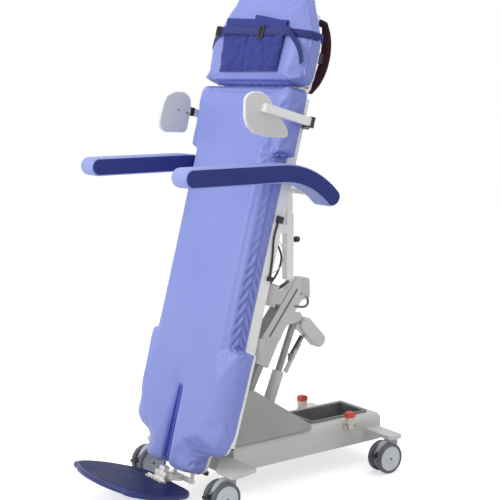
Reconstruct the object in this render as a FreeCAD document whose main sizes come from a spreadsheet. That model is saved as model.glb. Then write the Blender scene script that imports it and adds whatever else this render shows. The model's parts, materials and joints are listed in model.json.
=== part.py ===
import FreeCAD, Part
import math
import os
import re
import Sketcher
from FreeCAD import Placement, Rotation, Vector

# Tilt table for physiotherapy, built in millimetres, floor at z = 0, foot end towards -Y
doc = FreeCAD.newDocument("TiltTable")
sheet = doc.addObject("Spreadsheet::Sheet", "Sizes")

# Driving dimensions
sizes = {
    # lying surface: u across, v from the foot end to the head end, w out of the front face
    "table_lean": 15.1, "foot_y": -389.0, "foot_z": 138.0, "mattress_thick": 86.0,
    "lobe_half": 165.0, "wide_half": 308.0, "narrow_half": 258.0, "torso_half": 300.0,
    "flare_low": 84.0, "flare_high": 190.0, "step_v": 500.0, "shoulder_v": 1236.0, "torso_top": 1495.0,
    "slot_top": 315.0, "slot_tip": 9.0, "slot_mouth": 20.0, "lining_gap": 0.4, "lining_wall": 3.0,
    "head_low": 1503.0, "head_taper": 1680.0, "head_top": 1868.0, "head_half": 314.0, "head_crown": 202.0,
    "cover_round": 14.0,
    # frame under the mattress
    "board_thick": 12.0, "board_inset": 4.0, "torso_inset": 16.0,
    "rail_wide": 22.0, "rail_deep": 34.0, "rail_x": 243.0,
    "rail_low": 135.0, "rail_high": 1470.0,
    # tilt axis
    "pivot_y": 10.0, "pivot_z": 760.0, "pivot_r": 12.0, "ear_thick": 9.0, "ear_x": 37.5,
    # chassis
    "base_half": 140.0, "base_front": -150.0, "base_rear": 610.0, "base_low": 92.0, "base_high": 200.0,
    "shoulder_r": 26.0, "base_wall": 4.0, "tray_half": 77.0, "tray_front": 292.0, "tray_rear": 572.0,
    "tray_deep": 62.0, "rim_thick": 6.0, "cheek_thick": 5.0,
    # legs and castors
    "leg_top": 152.0, "leg_thick": 15.0, "leg_notch": -190.0, "castor_r": 62.5, "castor_gap": 30.0,
    "castor_trail": 35.0, "front_stem_x": 260.0, "front_stem_y": -254.0, "rear_stem_x": 268.0,
    "rear_stem_y": 556.0, "disc_r": 51.0, "axle_r": 6.0, "stem_r": 17.0,
    # foot pedals
    "pedal_y": 425.0, "pedal_z": 184.0, "pedal_r": 8.0,
    # lifting column
    "column_lean": 28.0, "column_y": 76.0, "column_z": 460.0, "column_r": 19.0, "arm_half": 28.0,
    "arm_wall": 5.0,
    # lifting actuator
    "ram_lean": 21.9, "ram_y": 56.5, "ram_z": 132.0, "ram_r": 24.0, "rod_r": 14.0,
    # armrests and their telescopic post
    "post_x": 70.0, "post_y": 165.0, "post_wide": 32.0, "post_low": 812.0,
    "post_high": 1074.0, "mast_wide": 26.0, "bar_y": 120.0, "bar_z": 1176.0,
    "bar_r": 12.0, "arm_inner": 278.0, "arm_wide": 102.0, "arm_tall": 60.0, "arm_tip": -508.0,
    "arm_bend": -95.0, "arm_z": 1264.0, "arm_curve": 324.0, "arm_turn": 51.0,
    # thorax supports
    "side_v": 1377.0, "side_bar": 30.0, "side_bar_x": 332.0, "side_front": 126.0, "side_rear": 99.0,
    "side_pad_thick": 15.0,
    # footplate
    "plate_v": -60.0, "plate_thick": 20.0, "tread_deep": 1.0,
    # push handles
    "grip_x": 206.0, "grip_r": 17.5, "grip_curve": 258.0, "grip_v": 1640.0, "grip_y": -58.0,
    "grip_turn": 64.6,
    # strap set on the head section
    "band_v": 1690.0, "band_wide": 30.0, "band_thick": 2.0, "panel_thick": 8.0,
    # whole table, moved so that the origin lies under its middle
    "origin_shift": 46.3,
}
for row, (alias, value) in enumerate(sizes.items(), 1):
    sheet.set("A%d" % row, alias)
    sheet.set("B%d" % row, str(value))
    sheet.setAlias("B%d" % row, alias)
doc.recompute()

subparts = []
X, Y, Z = Vector(1, 0, 0), Vector(0, 1, 0), Vector(0, 0, 1)


def formula(text):
    """The text with each alias written as a cell of the sheet."""
    def as_cell(word):
        name = word.group()
        return "Sizes." + name if name in sizes else name

    return re.sub(r"[a-z_]+", as_cell, text)


def value_of(text):
    """The number that a formula stands for."""
    if isinstance(text, str):
        return float(sheet.evalExpression(formula(text)))
    return float(text)


def bind(thing, prop, text):
    """Ties a property to the sheet."""
    if isinstance(text, str) or "." in prop:
        thing.setExpression(prop, formula(str(text)))
    else:
        setattr(thing, prop, text)


# Places that several pieces share
lean = Rotation(X, -value_of("table_lean"))
on_table = Placement(Vector(0, value_of("foot_y"), value_of("foot_z")), lean)
column_lean = Rotation(X, -value_of("column_lean"))
on_column = Placement(Vector(0, value_of("column_y"), value_of("column_z")), column_lean)
on_ram = Placement(Vector(0, value_of("ram_y"), value_of("ram_z")), Rotation(X, -value_of("ram_lean")))


def finish(thing, label, place=None):
    """Names a sub-part, puts it in its place and lists it."""
    thing.Label = label
    if place is not None:
        thing.Placement = place
    subparts.append(thing)
    return thing


def new_body(label, place=None):
    body = doc.addObject("PartDesign::Body", label)
    return finish(body, label, place)


def sketch_on(body, role, shift=0):
    """An empty sketch on one of the body's own planes, moved along the plane's normal."""
    sketch = body.newObject("Sketcher::SketchObject", body.Name + "_sketch")
    support = [feature for feature in body.Origin.OriginFeatures if feature.Role == role][0]
    sketch.AttachmentSupport = (support, [""])
    sketch.MapMode = "FlatFace"
    if shift:
        bind(sketch, "AttachmentOffset.Base.z", shift)
    return sketch


def tie_point(sketch, edge, end, place):
    """Holds one end of an edge at a place given by two formulas."""
    for kind, axis, text in (("DistanceX", -2, place[0]), ("DistanceY", -1, place[1])):
        number = value_of(text)
        if abs(number) < 1e-9:
            sketch.addConstraint(Sketcher.Constraint("PointOnObject", edge, end, axis))
            continue
        index = sketch.addConstraint(Sketcher.Constraint(kind, -1, 1, edge, end, number))
        if isinstance(text, str):
            sketch.setExpression("Constraints[%d]" % index, formula(text))


def draw_outline(sketch, points):
    """A closed outline: each point is (a, b), or (a, b, a_via, b_via) where an arc leads up to it."""
    first = sketch.GeometryCount
    count = len(points)
    flat = [Vector(value_of(p[0]), value_of(p[1]), 0) for p in points]
    for i, p in enumerate(points):
        start = flat[i - 1]
        if len(p) == 4:
            via = Vector(value_of(p[2]), value_of(p[3]), 0)
            sketch.addGeometry(Part.Arc(start, via, flat[i]))
        else:
            sketch.addGeometry(Part.LineSegment(start, flat[i]))
    last_end = []
    for i, p in enumerate(points):
        turned = sketch.getPoint(first + i, 2).distanceToPoint(flat[i]) > 1e-4
        last_end.append((1, 2) if turned else (2, 1))
    for i in range(count):
        following = (i + 1) % count
        sketch.addConstraint(Sketcher.Constraint("Coincident", first + i, last_end[i][0],
                                                 first + following, last_end[following][1]))
    for i, p in enumerate(points):
        if len(p) == 4:
            radius = sketch.Geometry[first + i].Radius
            sketch.addConstraint(Sketcher.Constraint("Radius", first + i, radius))
        tie_point(sketch, first + i, last_end[i][0], p)


def draw_circle(sketch, centre, radius):
    middle = Vector(value_of(centre[0]), value_of(centre[1]), 0)
    ring = sketch.addGeometry(Part.Circle(middle, Vector(0, 0, 1), value_of(radius)))
    tie_point(sketch, ring, 3, centre)
    index = sketch.addConstraint(Sketcher.Constraint("Radius", ring, value_of(radius)))
    if isinstance(radius, str):
        sketch.setExpression("Constraints[%d]" % index, formula(radius))


def box_outline(a_low, b_low, a_high, b_high):
    return [(a_low, b_low), (a_high, b_low), (a_high, b_high), (a_low, b_high)]


def mirror_outline(half):
    """Adds the mirror image in a = 0 to the points of the right half."""
    other = []
    for i in range(len(half) - 1, -1, -1):
        point = half[i]
        following = half[i + 1] if i + 1 < len(half) else ()
        mirrored = [negative(point[0]), point[1]]
        if len(following) == 4:
            mirrored += [negative(following[2]), following[3]]
        other.append(tuple(mirrored))
    return half + other


def negative(text):
    return "-(%s)" % text if isinstance(text, str) else -text


def pad(body, role, outlines, length, shift=0, middle=False, reverse=False):
    """Pads a sketch of one or more outlines along its plane's normal."""
    sketch = sketch_on(body, role, shift)
    for outline in outlines:
        draw_outline(sketch, outline)
    feature = body.newObject("PartDesign::Pad", body.Name + "_pad")
    feature.Profile = sketch
    bind(feature, "Length", length)
    feature.Midplane = middle
    feature.Reversed = reverse
    doc.recompute()
    return feature


def pocket(body, role, outlines, length, shift=0, middle=False, reverse=False, circles=()):
    """Cuts a sketch out of the body, and makes sure that something was cut."""
    before = body.Shape.Volume
    sketch = sketch_on(body, role, shift)
    for outline in outlines:
        draw_outline(sketch, outline)
    for centre, radius in circles:
        draw_circle(sketch, centre, radius)
    feature = body.newObject("PartDesign::Pocket", body.Name + "_pocket")
    feature.Profile = sketch
    if length is None:
        feature.Type = "ThroughAll"
    else:
        bind(feature, "Length", length)
    feature.Midplane = middle
    feature.Reversed = reverse
    doc.recompute()
    if body.Shape.Volume > before - 1.0:
        raise RuntimeError("nothing was cut from " + body.Label)
    return feature


def round_edges(body, radius, wanted):
    """Rounds the edges of the body's last feature that pass a test."""
    base = body.Tip
    names = ["Edge%d" % (i + 1) for i, edge in enumerate(base.Shape.Edges) if wanted(edge)]
    feature = body.newObject("PartDesign::Fillet", body.Name + "_round")
    feature.Base = (base, names)
    bind(feature, "Radius", radius)
    doc.recompute()
    return feature


def along(edge, axis):
    """True for a straight edge along an axis."""
    if not isinstance(edge.Curve, Part.Line):
        return False
    return abs(abs(edge.Curve.Direction.dot(axis)) - 1) < 1e-6


def in_plane(edge, axis, place):
    """True for an edge that lies in the plane at a place along an axis."""
    box = edge.BoundBox
    low = {0: box.XMin, 1: box.YMin, 2: box.ZMin}[axis]
    high = {0: box.XMax, 1: box.YMax, 2: box.ZMax}[axis]
    return abs(low - place) < 1e-4 and abs(high - place) < 1e-4


def cylinder(name, radius, height, place):
    solid = doc.addObject("Part::Cylinder", name)
    bind(solid, "Radius", radius)
    bind(solid, "Height", height)
    solid.Placement = place
    return solid


def block(name, length, width, height, place):
    solid = doc.addObject("Part::Box", name)
    bind(solid, "Length", length)
    bind(solid, "Width", width)
    bind(solid, "Height", height)
    solid.Placement = place
    return solid


def fuse(name, pieces):
    solid = doc.addObject("Part::MultiFuse", name)
    solid.Shapes = pieces
    solid.Refine = True
    return solid


def cut(name, base, tool):
    solid = doc.addObject("Part::Cut", name)
    solid.Base = base
    solid.Tool = tool
    solid.Refine = True
    return solid


def made(name, shape):
    """A shape made with Part's own functions, where no feature fits."""
    solid = doc.addObject("Part::Feature", name)
    solid.Shape = shape
    return solid


def across(x, y, z):
    """Placement of a cylinder that runs along +X from a point."""
    return Placement(Vector(x, y, z), Rotation(Z, X))


def upright(x, y, z):
    return Placement(Vector(x, y, z), Rotation())


# Lying surface: mattress, its lined slot, and the board that carries it
mattress_half = [
    (0, "slot_top"), ("slot_tip", "slot_top"), ("slot_mouth", 0), ("lobe_half - 3", 0),
    ("lobe_half + 11", "flare_low"), ("wide_half - 36", "flare_low + 20"),
    ("wide_half - 4", "flare_high - 8"), ("wide_half + 8", "step_v"), ("narrow_half", "step_v"),
    ("narrow_half", "shoulder_v"),
    ("torso_half", "shoulder_v"), ("torso_half", "torso_top"), (0, "torso_top"),
]
head_half_outline = [
    (0, "head_low"), ("head_half", "head_low"), ("head_half", "head_taper"), ("head_crown", "head_top"),
    (0, "head_top"),
]
# corner of the outline as (u, v), and its rounding
mattress_corners = [
    ("slot_mouth", 0, 30), ("lobe_half - 3", 0, 46), ("lobe_half + 11", "flare_low", 26),
    ("wide_half - 36", "flare_low + 20", 48), ("wide_half - 4", "flare_high - 8", 70),
    ("wide_half + 8", "step_v", 14),
    ("narrow_half", "step_v", 8), ("narrow_half", "shoulder_v", 10), ("torso_half", "shoulder_v", 14),
    ("torso_half", "torso_top", 40),
]
head_corners = [("head_half", "head_low", 46), ("head_half", "head_taper", 170),
                ("head_crown", "head_top", 74)]


def round_corners(body, corners):
    """Rounds upright corners of a slab that lies in the u-v plane, on both sides of its middle."""
    for u, v, radius in corners:
        place = (value_of(u), value_of(v))
        round_edges(body, radius, lambda edge: along(edge, Y)
                    and abs(abs(edge.CenterOfMass.x) - place[0]) < 0.01
                    and abs(edge.CenterOfMass.z - place[1]) < 0.01)


def cushion(label, half, corners):
    """A foam slab in a fitted cover: rounded outline and a soft front edge."""
    body = new_body(label, on_table)
    closed = mirror_outline(half[1:-1])
    pad(body, "XZ_Plane", [closed], "mattress_thick", reverse=True)
    round_corners(body, corners)
    round_edges(body, "cover_round", lambda edge: in_plane(edge, 1, 0.0))
    return body


cushion("mattress", mattress_half, mattress_corners)
cushion("head_cushion", head_half_outline, head_corners)

slot_lining = new_body("slot_lining", on_table)
lining_low = "slot_mouth - (slot_mouth - slot_tip) * 36 / slot_top - lining_gap"
lining_outside = [("slot_tip - lining_gap", "slot_top - lining_gap"), (lining_low, 36)]
lining_inside = [("slot_tip - lining_gap - lining_wall", "slot_top - lining_gap - lining_wall"),
                 (lining_low + " - lining_wall", 36), (lining_low + " - lining_wall", 20)]
pad(slot_lining, "XZ_Plane", [mirror_outline(lining_outside)], "mattress_thick - 6", shift="-6",
    reverse=True)
pocket(slot_lining, "XZ_Plane", [mirror_outline(lining_inside)], "mattress_thick - 12", shift="-6")

board_half = [
    ("lobe_half - board_inset - 2", "board_inset"), ("lobe_half + 9", "flare_low + board_inset"),
    ("wide_half - 38 - board_inset", "flare_low + 24"),
    ("wide_half - 4 - board_inset", "flare_high - 2"),
    ("wide_half + 6 - board_inset", "step_v - board_inset"),
    ("narrow_half - board_inset", "step_v - board_inset"),
    ("narrow_half - board_inset", "shoulder_v + torso_inset"),
    ("torso_half - torso_inset", "shoulder_v + torso_inset"),
    ("torso_half - torso_inset", "torso_top - torso_inset"),
]
board_corners = [(board_half[0][0], board_half[0][1], 40), (board_half[1][0], board_half[1][1], 24),
                 (board_half[2][0], board_half[2][1], 44), (board_half[3][0], board_half[3][1], 64),
                 (board_half[4][0], board_half[4][1], 12), (board_half[8][0], board_half[8][1], 36)]
body_board = new_body("body_board", on_table)
pad(body_board, "XZ_Plane", [mirror_outline(board_half)], "board_thick", shift="-mattress_thick",
    reverse=True)
round_corners(body_board, board_corners)


def local_point(place, y, z):
    """World (y, z) seen from a placed piece, as its own (y, z)."""
    point = place.inverse().multVec(Vector(0, value_of(y), value_of(z)))
    return point.y, point.z


# Small helpers for plain blocks and round bars
def slab(name, u_low, u_size, y_low, y_size, v_low, v_size, place=None):
    """A straight-sided block from its low corner and its sizes."""
    piece = block(name, u_size, y_size, v_size, place or Placement())
    if place is None:
        bind(piece, "Placement.Base.x", u_low)
        bind(piece, "Placement.Base.y", y_low)
        bind(piece, "Placement.Base.z", v_low)
    return piece


def round_bar(name, radius, start, end):
    """A round bar between two points."""
    run = Vector(*end) - Vector(*start)
    return cylinder(name, radius, run.Length, Placement(Vector(*start), Rotation(Z, run)))


def group(name, pieces):
    """Separate solids that share one node."""
    solids = doc.addObject("Part::Compound", name)
    solids.Links = pieces
    return solids


def spin(body, outline):
    """Turns an outline of (x, radius) points about the body's X axis."""
    sketch = sketch_on(body, "XY_Plane")
    draw_outline(sketch, outline)
    feature = body.newObject("PartDesign::Revolution", body.Name + "_turned")
    feature.Profile = sketch
    feature.ReferenceAxis = (sketch, ["H_Axis"])
    feature.Angle = 360
    doc.recompute()
    return feature


# Welded frame behind the board: two rails, six cross tubes, ears for the hinges
board_rear = "mattress_thick + board_thick"
frame_bars = []
for side in (-1, 1):
    low = "rail_x - rail_wide / 2" if side > 0 else "-(rail_x + rail_wide / 2)"
    frame_bars.append(slab("rail", low, "rail_wide", board_rear, "rail_deep", "rail_low",
                           "rail_high - rail_low"))
    lug_low = "rail_x - 7" if side > 0 else "-(rail_x + 7)"
    frame_bars.append(slab("hinge_lug", lug_low, 14, 103, 18, "rail_high", 36))
for v in (170, 622, 760, 962, 1190, 1430):
    frame_bars.append(slab("cross_tube", "-rail_x", "2 * rail_x", board_rear, "rail_deep", v, 30))
rod_holes = [cylinder("rod_hole", 8.3, 60, upright(side * 60, 112, 155)) for side in (-1, 1)]
rod_holes.append(cylinder("hinge_hole", 6.05, 560, across(-280, 112, 1497)))
frame_solid = cut("frame_bored", fuse("frame_welded", frame_bars), fuse("frame_holes", rod_holes))
finish(frame_solid, "table_frame", on_table)

cap_pieces = []
for side in (-1, 1):
    low = "rail_x - rail_wide / 2" if side > 0 else "-(rail_x + rail_wide / 2)"
    cap_pieces.append(slab("plug", low, "rail_wide", board_rear, "rail_deep", "rail_low - 6", 6))
    cap_pieces.append(slab("bumper", side * 140 - 17, 34, board_rear, 14, 5, 16))
finish(group("caps", cap_pieces), "frame_end_caps", on_table)


def cord(name, radius, points):
    """A round cord along straight runs joined by tangent arcs."""
    places = [Vector(*point) for point in points]
    edges = []
    start = places[0]
    for before, corner, after in zip(places, places[1:], places[2:]):
        into, out = corner - before, after - corner
        turn = into.getAngle(out)
        reach = 0.45 * min(into.Length, out.Length)
        print(name, "bend radius", round(reach / math.tan(turn / 2), 1))
        arc_start = corner - Vector(into).normalize() * reach
        arc_end = corner + Vector(out).normalize() * reach
        sagitta = reach * math.tan(turn / 4) * math.cos(turn / 2)
        middle = (arc_start + arc_end) / 2
        via = middle + (corner - middle).normalize() * sagitta
        edges.append(Part.LineSegment(start, arc_start).toShape())
        edges.append(Part.Arc(arc_start, via, arc_end).toShape())
        start = arc_end
    edges.append(Part.LineSegment(start, places[-1]).toShape())
    route = Part.Wire(edges)
    section = Part.Wire(Part.makeCircle(radius, places[0], places[1] - places[0]))
    solid = route.makePipeShell([section], True, False)
    plain_volume = math.pi * radius ** 2 * route.Length
    print(name, "volume against section times length", round(solid.Volume / plain_volume, 4))
    return made(name, solid)


# Cable bundle clipped to the right rail, between a connector and a gland
bundle = cord("bundle", 4, [(258.2, 105, 994), (258.2, 100, 935), (258.2, 114, 868), (258.2, 122, 790)])
connector = cut("connector_bored", block("connector", 17, 22, 26, upright(254, 96, 993)), bundle)
gland = cut("gland_bored", block("gland", 12, 20, 18, upright(254, 112, 774)), bundle)
finish(group("cable_pieces", [bundle, connector, gland]), "cable_bundle", on_table)

# Tilt axis: ears behind the frame, and the shafts of the tilt axis and of the head section
pivot = local_point(on_table, "pivot_y", "pivot_z")
ear_front = value_of("mattress_thick + board_thick + rail_deep")
ear_shape = [
    (ear_front, pivot[1] - 82), (ear_front, pivot[1] + 88), (pivot[0] - 4, pivot[1] + 31.7),
    (pivot[0] - 4, pivot[1] - 31.7, pivot[0] + 32, pivot[1]),
]
ears = []
for side in (1, -1):
    ear = doc.addObject("PartDesign::Body", "tilt_ear")
    pad(ear, "YZ_Plane", [ear_shape], "ear_thick", shift="%d * ear_x - ear_thick / 2" % side)
    pocket(ear, "YZ_Plane", [], None, shift=-200, reverse=True, circles=[(pivot, "pivot_r + 0.05")])
    ears.append(ear)
finish(group("ears", ears), "tilt_ears", on_table)

ear_out = value_of("ear_x + ear_thick / 2")
tilt_shaft = [cylinder("shaft", "pivot_r", 2 * ear_out + 12, across(-ear_out - 6, pivot[0], pivot[1]))]
for start in (ear_out, -ear_out - 6):
    tilt_shaft.append(cylinder("collar", "pivot_r + 6", 6, across(start, pivot[0], pivot[1])))
head_shaft = cylinder("head_shaft", 6, 512, across(-256, 112, 1497))
finish(group("shafts", [fuse("tilt_shaft", tilt_shaft), head_shaft]), "hinge_shafts", on_table)

# Chassis: pressed cover with round shoulders, open over the column and the tray
chassis = new_body("chassis_shell")
shell_half = [("base_half", "base_low"), ("base_half", "base_high - shoulder_r"),
              ("base_half - shoulder_r", "base_high", "base_half - 7.6", "base_high - 7.6")]
pad(chassis, "XZ_Plane", [mirror_outline(shell_half)], "base_rear - base_front", shift="-base_front",
    reverse=True)
inner_half = [("base_half - base_wall", "base_low + base_wall"),
              ("base_half - base_wall", "base_high - shoulder_r"),
              ("base_half - shoulder_r", "base_high - base_wall", "base_half - 10.4", "base_high - 10.4")]
pocket(chassis, "XZ_Plane", [mirror_outline(inner_half)], "base_rear - base_front - 2 * base_wall",
       shift="-(base_front + base_wall)")
column_well = box_outline(-96, -118, 96, 205)
tray_well = box_outline("-tray_half", "tray_front", "tray_half", "tray_rear")
pocket(chassis, "XY_Plane", [column_well, tray_well], 40, shift="base_high - 34", reverse=True)
pocket(chassis, "YZ_Plane", [], None, shift=-300, reverse=True,
       circles=[(("pedal_y", "pedal_z"), "pedal_r + 0.05")])

tray = new_body("tray_liner")
tray_rim = box_outline("-(tray_half + 12)", "tray_front - 12", "tray_half + 12", "tray_rear + 12")
pad(tray, "XY_Plane", [tray_rim], "rim_thick", shift="base_high")
tray_outside = box_outline("-(tray_half - 0.5)", "tray_front + 0.5", "tray_half - 0.5", "tray_rear - 0.5")
pad(tray, "XY_Plane", [tray_outside], "tray_deep", shift="base_high - tray_deep")
tray_inside = box_outline("-(tray_half - 4)", "tray_front + 4", "tray_half - 4", "tray_rear - 4")
pocket(tray, "XY_Plane", [tray_inside], "tray_deep + rim_thick - 4", shift="base_high - tray_deep + 4",
       reverse=True)
round_edges(tray, 10, lambda edge: along(edge, Z) and abs(edge.CenterOfMass.x) > value_of("tray_half"))

# Housing with two cheeks around the foot of the column
housing = new_body("column_housing")
cheek = [(-157, 200), (-142, 304), (-90, 410), (-50, 404), (228, 222), (234, 200)]
pad(housing, "YZ_Plane", [cheek], "2 * (base_half + cheek_thick)", middle=True)
round_edges(housing, 22, lambda edge: along(edge, X) and edge.CenterOfMass.z > 380)
hollow = [(-151, 204), (-137, 303), (-78, 430), (300, 430), (300, 204)]
pocket(housing, "YZ_Plane", [hollow], "2 * base_half", middle=True)
pocket(housing, "XY_Plane", [box_outline(-96, -118, 96, 205)], 12, shift=196, reverse=True)

# Column: foot block on the chassis floor and a straight tube
column_tube = finish(cylinder("tube", "column_r", 635, Placement()), "column_tube",
                     on_column.multiply(upright(0, 0, -380)))
foot_block = doc.addObject("PartDesign::Body", "foot_block")
foot_side = [(-144, 96), (-2, 96), (-2, 150), (-10, 240), (-104, 240), (-112, 190), (-144, 150)]
pad(foot_block, "YZ_Plane", [foot_side], 84, middle=True)
foot_bore = cylinder("foot_bore", "column_r", 635, on_column.multiply(upright(0, 0, -380)))
column_foot = cut("foot_bored", foot_block, foot_bore)
foot_plates = []
for low in (-32, 25):
    foot_plate = doc.addObject("PartDesign::Body", "ram_foot_plate")
    pad(foot_plate, "YZ_Plane", [[(34, 96), (80, 96), (74, 146), (40, 146)]], 7, shift=low)
    foot_plates.append(foot_plate)
ram_pin = cylinder("ram_pin", 7, 70, across(-35, value_of("ram_y"), value_of("ram_z")))
finish(group("brackets", [column_foot, fuse("ram_foot", foot_plates + [ram_pin])]), "base_brackets")

# Legs
front_leg = new_body("front_leg")
leg_plan = [(110, "leg_notch"), (204, "front_stem_y - 21"), ("front_stem_x + 45", "front_stem_y - 21"),
            ("front_stem_x + 45", "front_stem_y + 30"), ("front_stem_x + 24", "front_stem_y + 108"),
            (140, "base_front")]
pad(front_leg, "XY_Plane", [mirror_outline(leg_plan)], "leg_thick", shift="leg_top - leg_thick")
pad(front_leg, "XY_Plane", [box_outline(-150, "leg_notch", 150, "base_front")],
    "leg_top - leg_thick - base_low", shift="base_low")
round_edges(front_leg, 16, lambda edge: along(edge, Z) and edge.CenterOfMass.y < -260
            and abs(edge.CenterOfMass.x) > 290)

rear_legs = []
for side in (1, -1):
    leg = doc.addObject("PartDesign::Body", "rear_leg")
    strap = [("base_half", 98), ("base_half + 6", 98), ("base_half + 6", "leg_top - leg_thick"),
             ("rear_stem_x + 30", "leg_top - leg_thick"), ("rear_stem_x + 30", "leg_top"),
             ("base_half", "leg_top")]
    if side < 0:
        strap = [(negative(a), b) for a, b in strap]
    pad(leg, "XZ_Plane", [strap], 68, shift="-(rear_stem_y - 34)", reverse=True)
    round_edges(leg, 14, lambda edge: along(edge, Z) and abs(edge.CenterOfMass.x) > 290)
    rear_legs.append(leg)
finish(group("rear_leg_pair", rear_legs), "rear_legs")


# Castors: hood with its stem, twin wheels on one axle, and a foot brake
wheel_half = [
    (40, 0), (40, 17), (35, 18), (33, 22), (33, 41), (36, 46), (36, "disc_r - 1"), (38, "disc_r + 2"),
    (38, "castor_r - 4"),
    (35, "castor_r"), (18, "castor_r"), (15, "castor_r - 4"), (15, "axle_r"),
]
wheel_outline = wheel_half + [(negative(a), b) for a, b in wheel_half[::-1]]
hood_side = [(22, 132), (-26, 132), (-79, 66, -66, 108), (-64, 42), (-12, 40), (22, 84)]


def castor(name, x, y):
    stem = Vector(value_of(x), value_of(y), 0)
    hub = stem + Vector(0, -value_of("castor_trail"), value_of("castor_r"))
    hood = new_body(name + "_hood", Placement(stem, Rotation()))
    pad(hood, "YZ_Plane", [hood_side], "castor_gap - 4", middle=True)
    collar = sketch_on(hood, "XY_Plane", 132)
    draw_circle(collar, (0, 0), "stem_r")
    boss = hood.newObject("PartDesign::Pad", "boss")
    boss.Profile = collar
    bind(boss, "Length", "leg_top - leg_thick - 132")
    doc.recompute()
    pocket(hood, "YZ_Plane", [], None, shift=-60, reverse=True,
           circles=[(("-castor_trail", "castor_r"), "axle_r + 0.05"), ((-74, 76), 3.05)])
    wheels = new_body(name + "_wheels", Placement(hub, Rotation()))
    spin(wheels, wheel_outline)
    pocket(hood, "YZ_Plane", [box_outline(-95, 62, -62, 91)], 12, middle=True)
    tab = doc.addObject("PartDesign::Body", "brake_tab")
    tab_plan = [(-12, -82), (-12, -99), (-17, -105), (-17, -114), (17, -114), (17, -105), (12, -99),
                (12, -82)]
    pad(tab, "XY_Plane", [tab_plan], 8, shift=70)
    round_edges(tab, 3, lambda edge: along(edge, Z) and edge.CenterOfMass.y < -110)
    tongue = block("tongue", 11.2, 18, 14, upright(-5.6, -85, 69))
    pin = round_bar("brake_pin", 3, (-12.8, -74, 76), (12.8, -74, 76))
    finish(fuse("brake_solid", [tab, tongue, pin]), name + "_brake", Placement(stem, Rotation()))


castor("castor_front_right", "front_stem_x", "front_stem_y")
castor("castor_front_left", "-front_stem_x", "front_stem_y")
castor("castor_rear_right", "rear_stem_x", "rear_stem_y")
castor("castor_rear_left", "-rear_stem_x", "rear_stem_y")

# Foot pedals: a stub shaft and a pedal at each side, tied by a bar that runs under the tray
pedal_y = value_of("pedal_y")
pedal_z = value_of("pedal_z")
pedal_arms = [round_bar("pedal_tie", 6, (-100, pedal_y, 118), (100, pedal_y, 118))]
pedal_bodies = []
pedal_pads = []
pedal_tips = []
for side in (-1, 1):
    arm_low = "96" if side > 0 else "-104"
    arm = doc.addObject("PartDesign::Body", "pedal_arm")
    pad(arm, "YZ_Plane", [box_outline("pedal_y - 9", 110, "pedal_y + 9", "pedal_z + 10")], 8, shift=arm_low)
    pedal_arms.append(arm)
    stub_place = across(100 if side > 0 else -164, pedal_y, pedal_z)
    pedal_arms.append(cylinder("pedal_stub", "pedal_r", 64, stub_place))
    low = 145 if side > 0 else -169
    pedal_shell = doc.addObject("PartDesign::Body", "pedal_shell")
    shell_side = [("pedal_y - 14", 172), ("pedal_y + 14", 172), ("pedal_y + 18", 219), ("pedal_y - 18", 219)]
    pad(pedal_shell, "YZ_Plane", [shell_side], 24, shift=low)
    stub_space = cylinder("stub_space", "pedal_r", 64, stub_place)
    pedal_bodies.append(cut("pedal_body", pedal_shell, stub_space))
    top = doc.addObject("PartDesign::Body", "pedal_pad")
    top_side = [("pedal_y - 19", 219), ("pedal_y + 19", 219), ("pedal_y + 19", 236), ("pedal_y + 12", 242),
                ("pedal_y - 12", 242), ("pedal_y - 19", 236)]
    pad(top, "YZ_Plane", [top_side], 26, shift=low - 1)
    pedal_pads.append(top)
    for tip_y in (value_of("pedal_y + 15"), value_of("pedal_y - 23")):
        tip = block("pedal_tip", 20, 8, 12, upright(low + 2, tip_y, 176))
        pedal_tips.append(cut("tip_cut", tip, pedal_shell))
finish(fuse("pedal_steel", pedal_arms), "pedal_lever")
finish(group("pedal_pad_pair", pedal_pads), "pedal_pads")
finish(group("pedal_body_pair", pedal_bodies + pedal_tips), "pedal_bodies")

# Lifting arm on the column, in the column's own directions
sleeve = new_body("arm_sleeve", on_column)
pad(sleeve, "XY_Plane", [box_outline(-26, -38, 26, 30)], 120)
round_edges(sleeve, 6, lambda edge: along(edge, Z))
pocket(sleeve, "XY_Plane", [], None, shift=-10, reverse=True, circles=[((0, 0), "column_r + 0.1")])

arm = doc.addObject("PartDesign::Body", "arm_channel")
arm_side = [(-38, 25), (-66, 88), (-14, 384), (44, 401), (86, 336), (55, 310), (30, 165), (30, 120),
            (-38, 120)]
pad(arm, "YZ_Plane", [arm_side], "2 * arm_half", middle=True)
inner_side = [(-53, 126), (-9, 376), (41, 391), (76, 340), (49, 316), (24, 167), (24, 126)]
pocket(arm, "YZ_Plane", [inner_side], "2 * (arm_half - arm_wall)", middle=True)
pocket(arm, "XY_Plane", [], 12, shift=116, reverse=True, circles=[((0, 0), "column_r + 2")])
for side in (-1, 1):
    groove = [(-41, 132), (-4, 340), (6, 340), (-31, 132)]
    pocket(arm, "YZ_Plane", [groove], 1.5, shift="arm_half - 1.5" if side > 0 else "-arm_half", reverse=True)

lug_side = [(194, 611), (262, 620), (277, 640), (268, 657), (237, 664)]
lugs = []
for low in (-25, 17):
    lug = doc.addObject("PartDesign::Body", "ram_lug")
    pad(lug, "YZ_Plane", [lug_side], 8, shift=low)
    lugs.append(lug)
lug_pin = round_bar("lug_pin", 7, (-27, 260, 640), (27, 260, 640))
arm_space = doc.addObject("PartDesign::Body", "arm_space")
pad(arm_space, "YZ_Plane", [arm_side], 80, middle=True)
arm_space.Placement = on_column
arm.Placement = on_column
lugs_cut = cut("lugs_cut", fuse("lugs_welded", lugs + [lug_pin]), arm_space)
finish(fuse("arm_welded", [arm, lugs_cut]), "lift_arm")

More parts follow.
